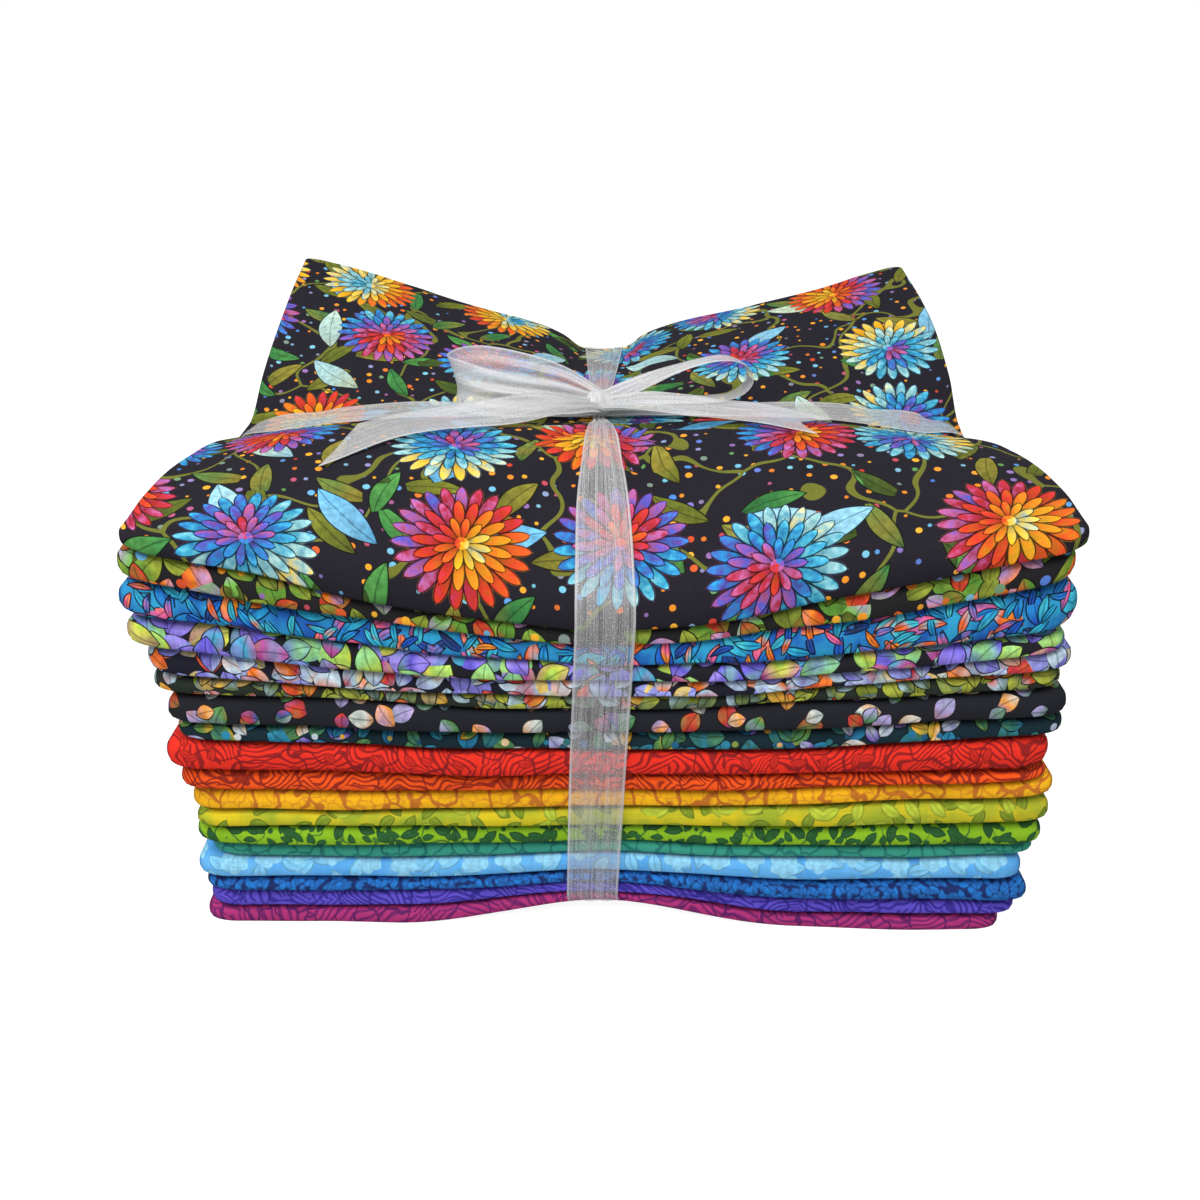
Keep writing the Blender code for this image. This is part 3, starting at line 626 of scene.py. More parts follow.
def bow_strip(name, rows, slant=0.0, notch=0.0, seed=0.0):
    """A loop or tail of the bow as a sheer strip, and its length."""
    values = smooth_strands(rows)
    centres = values[:, 0:3] * MM + np.array(MIDDLE)
    points, travelled = strip_points(centres, values[:, 3:6], values[:, 6] * MM, slant, notch, seed)
    return sheer_strip(name, points, travelled), travelled[-1]


def store_gather(piece, gathers):
    """Keeps on each point how many times narrower than its real width the ribbon is drawn there."""
    attribute = piece.data.attributes.new("gather", "FLOAT", "POINT")
    attribute.data.foreach_set("value", np.asarray(gathers, np.float32))


def sheer_strip(name, points, travelled):
    """A ribbon strip from its points, with UVs that run across its real width and along it."""
    across = np.linspace(-0.5, 0.5, points.shape[1]) * RIBBON_WIDTH
    uvs = np.stack(np.broadcast_arrays(across[None, :], travelled[:, None]), axis=-1)
    strip = grid_object(name, points, uvs)
    drawn_to = np.linalg.norm(points[:, -1] - points[:, 0], axis=-1)
    store_gather(strip, np.repeat(np.clip(RIBBON_WIDTH / drawn_to, 1.0, MOST_GATHERED), points.shape[1]))
    thicken(strip, RIBBON_THICKNESS)
    return strip


def taut_line(points):
    """The outer bend points of a ribbon pulled tight down past (reach, height) points."""
    line = []
    for reach, height in points:
        while len(line) > 1:
            (first_reach, first_height), (last_reach, last_height) = line[-2:]
            turn = (last_reach - first_reach) * (height - first_height)
            turn -= (last_height - first_height) * (reach - first_reach)
            if turn < 0.0:
                break
            line.pop()
        line.append((reach, height))
    return line


def travelled_along(points):
    """How far along a line each of its points lies."""
    return np.concatenate([[0.0], np.cumsum(np.linalg.norm(np.diff(points, axis=0), axis=1))])


def even_path(points):
    """Points at an even step along a line through the given points, which it keeps close to."""
    points = np.array(points)
    lengths = travelled_along(points)
    places = np.linspace(0.0, lengths[-1], int(lengths[-1] / EVEN_STEP) + 1)
    return np.stack([np.interp(places, lengths, column) for column in points.T], axis=-1)


def soften(points, times):
    """Rounds the corners of a line of points and keeps its two ends."""
    for _ in range(times):
        points[1:-1] = (points[:-2] + 2.0 * points[1:-1] + points[2:]) / 4.0
    return points


def laid_band(name, points, widths, sideways, seed):
    """A band and its length, from its points on the cloth. Its pleats stand off the cloth only."""
    outwards = unit(np.cross(sideways, np.gradient(points, axis=0)))
    travelled = travelled_along(points[:, ACROSS_RIBBON // 2])
    pleats = pleats_across(travelled, widths, seed)
    lift = BAND_LIFT + 0.5 * (pleats + np.abs(pleats).max(axis=1, keepdims=True))
    points = points + outwards * lift[..., None]
    points = points + np.array([MIDDLE.x, FRONT_Y, 0.0])
    return sheer_strip(name, points, travelled), travelled[-1]


def banded(rows, at):
    """The shift and width of a band at a place, from its rows in millimetres."""
    places = [row.at * MM for row in rows]
    values = [[row.shift * MM, row.width * MM] for row in rows]
    return smooth_rows(places, values, np.clip(at, places[0], places[-1]))


def front_to_back_band():
    """The band over the top, down the front, under the bundle and up the back, from knot to knot."""
    xs, skin_depths, skin_heights = top_skin()
    middle = np.argmin(np.abs(xs))
    knot_row = int(np.argmin(np.abs(skin_depths[:, middle] - KNOT_DEPTH)))
    front = min(front_depths(index, np.array([0.0]))[0] for index in range(len(CUTS)))
    bottom = level_heights(0, np.array([0.0]), np.array([0.0]))[0, 0]
    rows = []

    def add_row(at, depths, heights, width):
        """One more row of points across the band, and the width there."""
        rows.append((np.stack(np.broadcast_arrays(at, depths, heights), axis=-1), width))

    def skin_row(row):
        """A row of points on one row of the top cut."""
        shift, width = banded(TOP_BAND, [skin_depths[row, middle]])[0]
        at = shift + ACROSS_PARTS * width / 2.0
        add_row(at, np.interp(at, xs, skin_depths[row]), np.interp(at, xs, skin_heights[row]), width)

    for row in range(knot_row, len(skin_depths)):
        skin_row(row)
    last = rows[-1][0]
    for share in np.linspace(0.0, 1.0, PLACES_A_SIDE)[1:]:
        add_row(last[:, 0], BUNDLE_DEPTH, mix(last[:, 2], bottom, share), RIBBON_WIDTH)
    for depth in np.linspace(BUNDLE_DEPTH, front, PLACES_A_SIDE)[1:-1]:
        add_row(last[:, 0], depth, bottom, RIBBON_WIDTH)
    for height in np.linspace(bottom, float(skin_heights[0, middle]), PLACES_A_SIDE)[:-1]:
        shift, width = banded(FRONT_BAND, [height])[0]
        add_row(shift + ACROSS_PARTS * width / 2.0, front, height, width)
    for row in range(knot_row):
        skin_row(row)
    points = soften(np.array([row for row, _ in rows]), 3)
    widths = soften(np.array([width for _, width in rows]), 6)
    return laid_band("ribbon_band_front_to_back", points, widths, (1.0, 0.0, 0.0), 2.0)


def side_to_side_band():
    """The band over the valley of the top, down both ends and under the bundle, from knot to knot."""
    depth = SIDE_BAND_DEPTH * MM
    sides = {}

    def top_at(x):
        """The height of the smooth top there."""
        return top_heights(np.array([x]), [depth])[0, 0]

    def level_at(index, x):
        """The height of the level under a cut there."""
        return level_heights(index, np.array([x]), [depth])[0, 0]

    for side in (-1.0, 1.0):
        passed = []
        for index in range(len(CUTS) - 1, -1, -1):
            reach = (CUTS[index].right_end if side > 0.0 else CUTS[index].left_end) * MM + RIBBON_GAP
            at = side * (reach - WITHIN_END)
            passed.append((reach, (level_at(index, at) + level_at(index + 1, at)) / 2.0))
        top = (passed[0][0] - TOP_CORNER[1], top_at(side * TOP_CORNER[0]) + RIBBON_GAP)
        bottom = (passed[-1][0] - LOW_CORNER[1], level_at(0, side * LOW_CORNER[0]) - RIBBON_GAP)
        sides[side] = taut_line([top, *passed, bottom])
    end = LYING_REACH + MM
    over_right = [(x, top_at(x)) for x in np.arange(0.0, end, STEP_ON_TOP)]
    over_left = [(-x, top_at(-x)) for x in np.arange(LYING_REACH, 0.0, -STEP_ON_TOP)]
    under = [(x, level_at(0, x)) for x in np.arange(LYING_REACH, -end, -STEP_BELOW)]
    up_left = [(-reach, height) for reach, height in sides[-1.0][::-1]]
    line = soften(even_path(over_right + sides[1.0] + under + up_left + over_left), 2)
    on_top = (np.abs(line[:, 0]) < LYING_REACH + MM / 2.0) & (line[:, 1] > ON_TOP_ABOVE)
    rows = banded(SIDE_BAND, line[:, 0])
    shift = soften(np.where(on_top, rows[:, 0], BELOW_SHIFT), 6)
    widths = soften(np.where(on_top, rows[:, 1], RIBBON_WIDTH), 6)
    depths = depth + shift[:, None] + ACROSS_PARTS[None, :] * widths[:, None] / 2.0
    heights = np.repeat(line[:, 1:2], len(ACROSS_PARTS), axis=1)
    for row in np.flatnonzero(on_top):
        heights[row] = level_heights(len(CUTS), line[row, 0:1], depths[row])[:, 0]
    points = soften(np.stack(np.broadcast_arrays(line[:, 0:1], depths, heights), axis=-1), 2)
    return laid_band("ribbon_band_side_to_side", points, widths, (0.0, -1.0, 0.0), 5.0)


def knot_piece():
    """The knot: a tight wrap of the ribbon with its pleats running round it."""
    deselect_all()
    bpy.ops.mesh.primitive_uv_sphere_add(segments=KNOT_PLACES[0], ring_count=KNOT_PLACES[1], radius=1.0)
    knot = bpy.context.object
    knot.name = "ribbon_knot"
    mesh = knot.data
    across = [vertex.co.x for vertex in mesh.vertices]
    turns = [math.atan2(vertex.co.z, -vertex.co.y) for vertex in mesh.vertices]
    for polygon in mesh.polygons:
        around = [turns[vertex] for vertex in polygon.vertices]
        if max(around) - min(around) > math.pi:
            around = [turn + 2.0 * math.pi if turn < 0.0 else turn for turn in around]
        for corner, vertex, turn in zip(polygon.loop_indices, polygon.vertices, around):
            place = (across[vertex] * KNOT_RADII[0] * MM, turn * KNOT_RADII[2] * MM)
            mesh.uv_layers[0].data[corner].uv = place
    for vertex, turn in zip(mesh.vertices, turns):
        place = Vector(vertex.co)
        ridge = RIDGE_HEIGHT * math.sin(place.x * RIDGES + 0.8 * math.sin(turn * 2.0))
        ridge += KNOT_UNEVEN * noise.noise(Vector((place.x * 2.2, math.sin(turn), math.cos(turn) + 1.7)))
        bulge = 1.0 + ridge * (1.0 - abs(place.x) ** 3)
        shaped = (place.x, place.y * bulge, place.z * bulge)
        vertex.co = [middle + (centre + out * radius) * MM
                     for middle, centre, out, radius in zip(MIDDLE, KNOT_CENTRE, shaped, KNOT_RADII)]
    store_gather(knot, np.full(len(mesh.vertices), KNOT_GATHER))
    bpy.ops.object.shade_smooth()
    return knot


def make_bow_strips():
    """The loops and tails of the bow, each with its length."""
    return [
        bow_strip("ribbon_left_loop", LEFT_LOOP, seed=1.0),
        bow_strip("ribbon_right_loop", RIGHT_LOOP, seed=3.0),
        bow_strip("ribbon_left_tail", LEFT_TAIL, slant=TAIL_SLANT, seed=4.0),
        bow_strip("ribbon_right_tail", RIGHT_TAIL, notch=TAIL_NOTCH, seed=6.0),
    ]


def finish_strip(strip):
    """Lets a strip ride on the bundle and stand for part of the ribbon."""
    finish_piece(strip, "ribbon")


# The weave: its size, how it takes the light, a highlight painted on the crowns of its threads, how uneven
# its threads are and how worn the cloth is
WEAVE_PITCH = 0.0004
CLOTH_ROUGHNESS = 0.88
CLOTH_GLOSS = 0.14
# A painted highlight: light colour added to the base colour on the crowns of the threads
PAINTED_CROWN_HIGHLIGHT = (0.0045, 0.0045, 0.0055)
EDGE_SOFTNESS = 0.00022
SLUB_ACROSS = 1900.0
SLUB_ALONG = 75.0
WORN_SCALE = 55.0

# The prints: their outlines, and how far the pattern is moved on from cut to cut and from layer to layer
OUTLINE = 0.00045
DARK_OUTLINE = 0.03
TONAL_OUTLINE = 0.55
CUT_SHIFT = (0.437, 0.291, 0.0)
LAYER_SHIFT = (0.0731, 0.0517, 0.0)

# Flowers and leaves: each ring's inner and outer radius and its share of the petals, and the details
PETAL_RINGS = [(0.44, 1.0, 1.0), (0.20, 0.72, 0.76), (0.05, 0.42, 0.5)]
FLOWER_HEART = 0.10
PETAL_WASH = 330.0
LEAF_BEND = 0.22
LEAF_RIB = 0.00022
LEAF_WASH = 420.0

# The ribbon's threads: its woven edge, and how fine its warp, weft, clouds and painted glints are
RIBBON_EDGE = 0.0007
WARP_SCALE = (1500.0, 26.0, 1.0)
WEFT_SCALE = (60.0, 1400.0, 1.0)
CLOUD_SCALE = 130.0
GLINT_SCALE = 2300.0

BLOOM_STOPS = [
    (0.0, (0.42, 0.68, 0.64)), (0.07, (0.86, 0.66, 0.15)), (0.15, (0.89, 0.52, 0.02)),
    (0.25, (0.88, 0.32, 0.012)), (0.34, (0.84, 0.13, 0.014)), (0.43, (0.68, 0.04, 0.018)),
    (0.51, (0.52, 0.03, 0.07)), (0.59, (0.52, 0.13, 0.34)), (0.67, (0.11, 0.09, 0.52)),
    (0.76, (0.025, 0.24, 0.6)), (0.85, (0.06, 0.44, 0.64)), (1.0, (0.42, 0.68, 0.64)),
]
LEAF_STOPS = [
    (0.0, (0.035, 0.075, 0.014)), (0.35, (0.15, 0.17, 0.018)), (0.6, (0.25, 0.21, 0.03)),
    (0.8, (0.03, 0.17, 0.045)), (1.0, (0.08, 0.28, 0.06)),
]
DOT_STOPS = [
    (0.0, (0.86, 0.22, 0.012)), (0.25, (0.9, 0.44, 0.03)), (0.45, (0.6, 0.05, 0.02)),
    (0.6, (0.06, 0.2, 0.62)), (0.75, (0.18, 0.52, 0.64)), (0.88, (0.3, 0.14, 0.42)), (1.0, (0.1, 0.32, 0.06)),
]
PALE_OVAL_STOPS = [
    (0.0, (0.07, 0.33, 0.6)), (0.4, (0.3, 0.58, 0.7)), (0.7, (0.5, 0.6, 0.42)), (1.0, (0.15, 0.42, 0.6)),
]
WARM_LEAF_STOPS = [
    (0.0, (0.06, 0.09, 0.012)), (0.25, (0.3, 0.36, 0.04)), (0.42, (0.085, 0.25, 0.03)),
    (0.58, (0.56, 0.035, 0.02)), (0.7, (0.82, 0.22, 0.015)), (0.82, (0.42, 0.26, 0.52)),
    (1.0, (0.17, 0.44, 0.06)),
]
PAINT_STOPS = [
    (0.0, (0.02, 0.03, 0.06)), (0.14, (0.015, 0.1, 0.56)), (0.34, (0.02, 0.34, 0.62)),
    (0.5, (0.06, 0.54, 0.66)), (0.62, (0.85, 0.13, 0.03)), (0.72, (0.9, 0.3, 0.02)),
    (0.84, (0.82, 0.12, 0.3)), (1.0, (0.03, 0.2, 0.62)),
]
GREEN_STOPS = [
    (0.0, (0.44, 0.64, 0.08)), (0.2, (0.24, 0.56, 0.24)), (0.38, (0.13, 0.1, 0.62)),
    (0.55, (0.32, 0.24, 0.72)), (0.7, (0.05, 0.34, 0.52)), (0.84, (0.46, 0.07, 0.3)),
    (1.0, (0.58, 0.64, 0.06)),
]
PALE_STOPS = [
    (0.0, (0.34, 0.38, 0.8)), (0.25, (0.2, 0.18, 0.62)), (0.42, (0.56, 0.72, 0.8)), (0.58, (0.88, 0.2, 0.02)),
    (0.7, (0.64, 0.04, 0.06)), (0.84, (0.34, 0.56, 0.7)), (1.0, (0.82, 0.56, 0.12)),
]
OLIVE_STOPS = [
    (0.0, (0.16, 0.2, 0.02)), (0.25, (0.4, 0.44, 0.05)), (0.42, (0.12, 0.18, 0.08)),
    (0.58, (0.42, 0.6, 0.68)), (0.7, (0.6, 0.06, 0.02)), (0.84, (0.7, 0.42, 0.05)), (1.0, (0.06, 0.16, 0.18)),
]
OVAL_STOPS = [
    (0.0, (0.04, 0.1, 0.36)), (0.2, (0.56, 0.045, 0.02)), (0.38, (0.08, 0.26, 0.08)),
    (0.55, (0.38, 0.32, 0.6)), (0.7, (0.76, 0.3, 0.04)), (0.85, (0.6, 0.62, 0.56)), (1.0, (0.03, 0.12, 0.14)),
]
DEEP_STOPS = [
    (0.0, (0.012, 0.07, 0.17)), (0.25, (0.02, 0.22, 0.38)), (0.42, (0.03, 0.15, 0.12)),
    (0.58, (0.11, 0.27, 0.06)), (0.7, (0.84, 0.42, 0.03)), (0.84, (0.56, 0.66, 0.72)),
    (1.0, (0.12, 0.05, 0.4)),
]

# A print is a ground colour with layers over it. A layer has its motif, the motif's pitch in
# millimetres, its length and width as shares of that pitch, the share of places that it fills, and its
# one colour or its stops. For flowers the width is the number of outer petals, and for lines and nets the
# length is how much they stray.
Layer = namedtuple("Layer", "motif pitch long wide share colours")
Print = namedtuple("Print", "ground layers")
PRINTS = {
    "cut_18_magenta": Print((0.4, 0.03, 0.165), [
        Layer("net", 9.0, 0.45, 0.045, 0.95, (0.09, 0.01, 0.1)),
        Layer("lines", 2.4, 2.2, 0.2, 0.8, (0.11, 0.012, 0.11))]),
    "cut_17_violet": Print((0.12, 0.08, 0.59), [
        Layer("net", 12.0, 0.5, 0.04, 0.8, (0.03, 0.02, 0.26)),
        Layer("lines", 1.9, 2.6, 0.2, 0.85, (0.032, 0.02, 0.27))]),
    "cut_16_dark_blue": Print((0.009, 0.024, 0.12), [
        Layer("leaves", 3.2, 0.56, 0.24, 1.0, (0.018, 0.19, 0.62)),
        Layer("leaves", 2.7, 0.5, 0.2, 0.8, (0.02, 0.15, 0.52))]),
    "cut_15_light_blue": Print((0.085, 0.36, 0.79), [
        Layer("blotches", 16.0, 0.0, 0.0, 0.6, (0.17, 0.5, 0.82)),
        Layer("leaves", 8.5, 0.5, 0.24, 0.9, (0.21, 0.56, 0.85)),
        Layer("flowers", 12.0, 0.42, 6.0, 0.9, (0.29, 0.65, 0.89))]),
    "cut_14_teal": Print((0.04, 0.32, 0.23), [
        Layer("net", 6.5, 0.3, 0.065, 0.8, (0.012, 0.14, 0.13))]),
    "cut_13_green": Print((0.23, 0.45, 0.014), [
        Layer("net", 13.0, 0.6, 0.026, 0.85, (0.03, 0.13, 0.03)),
        Layer("leaves", 6.4, 0.46, 0.19, 0.85, (0.024, 0.11, 0.03)),
        Layer("leaves", 4.6, 0.42, 0.17, 0.6, (0.028, 0.13, 0.03)),
        Layer("dots", 4.4, 0.22, 0.0, 0.4, (0.024, 0.11, 0.03))]),
    "cut_12_lime": Print((0.3, 0.38, 0.024), [
        Layer("blotches", 14.0, 0.0, 0.0, 0.8, (0.7, 0.52, 0.01)),
        Layer("leaves", 7.0, 0.5, 0.22, 0.7, (0.21, 0.29, 0.02)),
        Layer("leaves", 8.0, 0.46, 0.2, 0.5, (0.42, 0.52, 0.04))]),
    "cut_11_yellow": Print((0.85, 0.43, 0.008), [
        Layer("net", 9.5, 0.45, 0.075, 0.9, (0.48, 0.13, 0.018)),
        Layer("net", 4.2, 0.35, 0.06, 0.55, (0.52, 0.15, 0.018))]),
    "cut_10_orange": Print((0.86, 0.09, 0.008), [
        Layer("net", 14.0, 0.5, 0.035, 0.85, (0.22, 0.014, 0.008)),
        Layer("lines", 1.9, 3.0, 0.2, 0.9, (0.25, 0.016, 0.008))]),
    "cut_09_red": Print((0.74, 0.026, 0.012), [
        Layer("net", 16.0, 0.5, 0.03, 0.85, (0.17, 0.008, 0.01)),
        Layer("lines", 2.1, 3.2, 0.18, 0.85, (0.19, 0.008, 0.01)),
        Layer("leaves", 5.2, 0.46, 0.2, 0.3, (0.56, 0.02, 0.012))]),
    "cut_08_deep_mixed": Print((0.006, 0.022, 0.032), [
        Layer("leaves", 9.0, 0.55, 0.36, 0.95, DEEP_STOPS),
        Layer("leaves", 7.0, 0.5, 0.26, 0.7, DEEP_STOPS),
        Layer("dots", 5.0, 0.24, 0.0, 0.35, DEEP_STOPS)]),
    "cut_07_black_ovals": Print((0.012, 0.013, 0.018), [
        Layer("leaves", 10.0, 0.42, 0.3, 0.85, OVAL_STOPS),
        Layer("leaves", 8.0, 0.36, 0.28, 0.45, OVAL_STOPS)]),
    "cut_06_olive_petals": Print((0.016, 0.022, 0.016), [
        Layer("leaves", 8.0, 0.6, 0.4, 1.0, OLIVE_STOPS),
        Layer("leaves", 7.0, 0.52, 0.3, 0.85, OLIVE_STOPS),
        Layer("leaves", 9.0, 0.5, 0.26, 0.6, OLIVE_STOPS)]),
    "cut_05_pale_cells": Print((0.01, 0.01, 0.02), [
        Layer("leaves", 9.0, 0.66, 0.46, 1.0, PALE_STOPS),
        Layer("leaves", 8.0, 0.56, 0.36, 0.9, PALE_STOPS),
        Layer("leaves", 10.0, 0.52, 0.32, 0.7, PALE_STOPS)]),
    "cut_04_green_cells": Print((0.01, 0.01, 0.014), [
        Layer("leaves", 11.0, 0.66, 0.46, 1.0, GREEN_STOPS),
        Layer("leaves", 9.0, 0.56, 0.36, 0.9, GREEN_STOPS),
        Layer("leaves", 12.0, 0.52, 0.32, 0.7, GREEN_STOPS)]),
    "cut_03_painted": Print((0.012, 0.1, 0.42), [
        Layer("blotches", 12.0, 0.0, 0.0, 0.85, (0.03, 0.36, 0.6)),
        Layer("leaves", 10.0, 0.62, 0.24, 1.0, PAINT_STOPS),
        Layer("leaves", 7.5, 0.6, 0.16, 0.95, PAINT_STOPS),
        Layer("leaves", 6.0, 0.6, 0.13, 0.8, PAINT_STOPS)]),
    "cut_02_dark_cells": Print((0.012, 0.011, 0.012), [
        Layer("leaves", 11.0, 0.6, 0.38, 1.0, WARM_LEAF_STOPS),
        Layer("leaves", 9.0, 0.5, 0.28, 0.75, WARM_LEAF_STOPS),
        Layer("dots", 6.5, 0.22, 0.0, 0.4, DOT_STOPS)]),
    "cut_01_top": Print((0.0125, 0.0105, 0.0165), [
        Layer("dots", 5.6, 0.17, 0.0, 0.62, DOT_STOPS),
        Layer("net", 46.0, 0.5, 0.02, 1.0, (0.15, 0.16, 0.022)),
        Layer("leaves", 21.0, 0.5, 0.16, 0.8, LEAF_STOPS),
        Layer("leaves", 33.0, 0.42, 0.15, 0.42, PALE_OVAL_STOPS),
        Layer("flowers", 54.0, 0.385, 23.0, 0.95, BLOOM_STOPS)]),
}


class Signal:
    """What one output of a shader node gives. Signals are put together like numbers, a node for each sum."""

    def __init__(self, socket):
        self.socket = socket

    def is_vector(self):
        """Whether it is a vector or colour and not one number."""
        return self.socket.type in ("VECTOR", "RGBA")


def put(sockets, values):
    """Joins each named socket to a signal, or gives it a value of its own."""
    for name, value in dict(values).items():
        socket = sockets[name]
        if isinstance(value, Signal):
            socket.id_data.links.new(value.socket, socket)
        elif socket.type == "RGBA":
            socket.default_value = (*value, 1.0)
        else:
            socket.default_value = value


def new_node(tree, kind, values=(), **settings):
    """The outputs of a new node that has the given settings and inputs."""
    node = tree.nodes.new(kind)
    for name, value in settings.items():
        setattr(node, name, value)
    put(node.inputs, values)
    return node.outputs


def joined(kind, values, **settings):
    """The outputs of a new node in the tree of the signals that it is joined to."""
    tree = next(value.socket.id_data for value in values.values() if isinstance(value, Signal))
    return new_node(tree, kind, values, **settings)


def by_name(outputs):
    """The outputs of a node as signals with their names."""
    return {socket.name: Signal(socket) for socket in outputs}


def maths(operation, *values, clamp=False):
    """One sum of up to three numbers, at least one of which is a signal."""
    return Signal(joined("ShaderNodeMath", dict(enumerate(values)), operation=operation, use_clamp=clamp)[0])


def vector_maths(operation, values, output="Vector"):
    """One sum of vectors, or of a vector and the number that scales it."""
    return Signal(joined("ShaderNodeVectorMath", values, operation=operation)[output])


def put_together(operation, first, second):
    """One sum of two values. A number and a vector together scale the vector."""
    is_vector = [isinstance(value, tuple) or isinstance(value, Signal) and value.is_vector()
                 for value in (first, second)]
    if all(is_vector):
        return vector_maths(operation, {0: first, 1: second})
    if is_vector[0]:
        return vector_maths("SCALE", {0: first, "Scale": second})
    if is_vector[1]:
        return vector_maths("SCALE", {0: second, "Scale": first})
    return maths(operation, first, second)


def both_ways(operation):
    """The two methods that put a signal together with what stands after it and before it."""
    def with_next(signal, other):
        return put_together(operation, signal, other)

    def with_last(signal, other):
        return put_together(operation, other, signal)

    return with_next, with_last


Signal.__add__, Signal.__radd__ = both_ways("ADD")
Signal.__sub__, Signal.__rsub__ = both_ways("SUBTRACT")
Signal.__mul__, Signal.__rmul__ = both_ways("MULTIPLY")
Signal.__truediv__, Signal.__rtruediv__ = both_ways("DIVIDE")
Signal.__pow__, Signal.__rpow__ = both_ways("POWER")


def parts(vector):
    """The three parts of a vector or colour."""
    return [Signal(socket) for socket in joined("ShaderNodeSeparateXYZ", {0: vector})]


def noise_at(place, scale, detail=2.0, output=0):
    """A flat noise: its value, or its colour where the output is 1."""
    values = {"Vector": place, "Scale": scale, "Detail": detail}
    return Signal(joined("ShaderNodeTexNoise", values, noise_dimensions="2D")[output])


def cells(place, feature="F1", randomness=1.0):
    """A flat pattern of cells, about one to each unit of length."""
    values = {"Vector": place, "Scale": 1.0, "Randomness": randomness}
    return by_name(joined("ShaderNodeTexVoronoi", values, voronoi_dimensions="2D", feature=feature))


def blend(share, first, second):
    """A colour that is the given share of the way from the first to the second."""
    return Signal(joined("ShaderNodeMix", {0: share, 6: first, 7: second}, data_type="RGBA")[2])


def between(share, first, second):
    """A number that is the given share of the way from the first to the second."""
    return Signal(joined("ShaderNodeMix", {0: share, 2: first, 3: second}, data_type="FLOAT")[0])


def ramp(share, stops):
    """A colour read along (place, colour) stops."""
    colour = joined("ShaderNodeValToRGB", {0: share})[0]
    elements = colour.node.color_ramp.elements
    while len(elements) < len(stops):
        elements.new(1.0)
    for element, (place, stop_colour) in zip(elements, stops):
        element.position = place
        element.color = (*stop_colour, 1.0)
    return Signal(colour)


def crisp(distance, softness=EDGE_SOFTNESS):
    """1 where a distance in metres is more than 0 and 0 where it is less, with a soft edge."""
    return maths("ADD", distance / softness, 0.5, clamp=True)


def relief(height, strength, distance):
    """The normals of a surface with a fine relief."""
    return Signal(joined("ShaderNodeBump", {"Strength": strength, "Distance": distance, "Height": height})[0])


def group_copy(name, values):
    """The outputs of a copy of a shared node group."""
    return by_name(joined("ShaderNodeGroup", values, node_tree=bpy.data.node_groups[name]))


def new_group(name, inputs, outputs):
    """A shader node group with named sockets: the signals that it is given, and its output sockets."""
    tree = bpy.data.node_groups.new(name, "ShaderNodeTree")
    for way, names in (("INPUT", inputs), ("OUTPUT", outputs)):
        for socket_name in names:
            kind = "NodeSocketVector" if socket_name == "Vector" else "NodeSocketFloat"
            tree.interface.new_socket(socket_name, in_out=way, socket_type=kind)
    return by_name(new_node(tree, "NodeGroupInput")), tree.nodes.new("NodeGroupOutput").inputs


def motif_group(name):
    """The group of one motif of the prints, with the sockets that all motifs have."""
    return new_group(name, ("Vector", "Pitch", "Long", "Wide", "Share", "Outline"), ("Mask", "Hue", "Shade"))


def make_weave_group():
    """Plain weave: threads that pass over and under each other, some of them thicker than others."""
    given, made = new_group("plain weave", ("Vector", "Pitch"), ("Height", "Tone", "Crowns"))
    place = given["Vector"]
    across, along, _ = parts(place * (math.pi / given["Pitch"]))
    over = maths("SINE", across) * maths("SINE", along)
    slub = noise_at(place * (SLUB_ACROSS, SLUB_ALONG, 1.0), 1.0, 1.0)
    slub = slub + noise_at(place * (SLUB_ALONG, SLUB_ACROSS, 1.0), 1.0, 1.0)
    # Crowns marks where the painted highlight on the thread crowns goes
    put(made, {"Height": over * 0.35 + slub, "Tone": over * 0.13 + ((slub - 1.0) * 0.26 + 1.0),
               "Crowns": over * 0.5 + 0.5})


def make_petal_group():
    """One ring of petals: where they are, the chance number of each, and how far out a point lies."""
    inputs = ("Radius", "Turn", "Inner", "Outer", "Petals", "Start", "Size")
    given, made = new_group("petal ring", inputs, ("Mask", "Edge", "Chance", "Along"))
    radius, petals = given["Radius"], given["Petals"]
    turned = given["Turn"] * petals + given["Start"]
    number = maths("FLOOR", turned)
    aside = maths("ABSOLUTE", turned - number - 0.5)
    past_inner = radius - given["Inner"]
    along = maths("DIVIDE", past_inner, given["Outer"] - given["Inner"], clamp=True)
    width = maths("SINE", along ** 0.75 * math.pi) ** 0.5 * 0.47 - 0.05
    spare = (width - aside) * (radius * (2.0 * math.pi) / petals)
    short = maths("MINIMUM", given["Outer"] - radius, past_inner)
    inside = maths("MINIMUM", spare, short) * given["Size"]
    seed = maths("MULTIPLY_ADD", given["Start"], 91.0, maths("MODULO", number, petals))
    chance = Signal(joined("ShaderNodeTexWhiteNoise", {"W": seed}, noise_dimensions="1D")["Value"])
    put(made, {"Mask": crisp(inside), "Edge": crisp(inside + OUTLINE), "Chance": chance, "Along": along})


def strewn(given, randomness):
    """The cell that a point lies in: its offset from the middle, its chances and whether it is filled."""
    place = given["Vector"] * (1.0 / given["Pitch"])
    cell = cells(place, randomness=randomness)
    chances = parts(cell["Color"])
    return place - cell["Position"], chances, maths("LESS_THAN", chances[1], given["Share"])


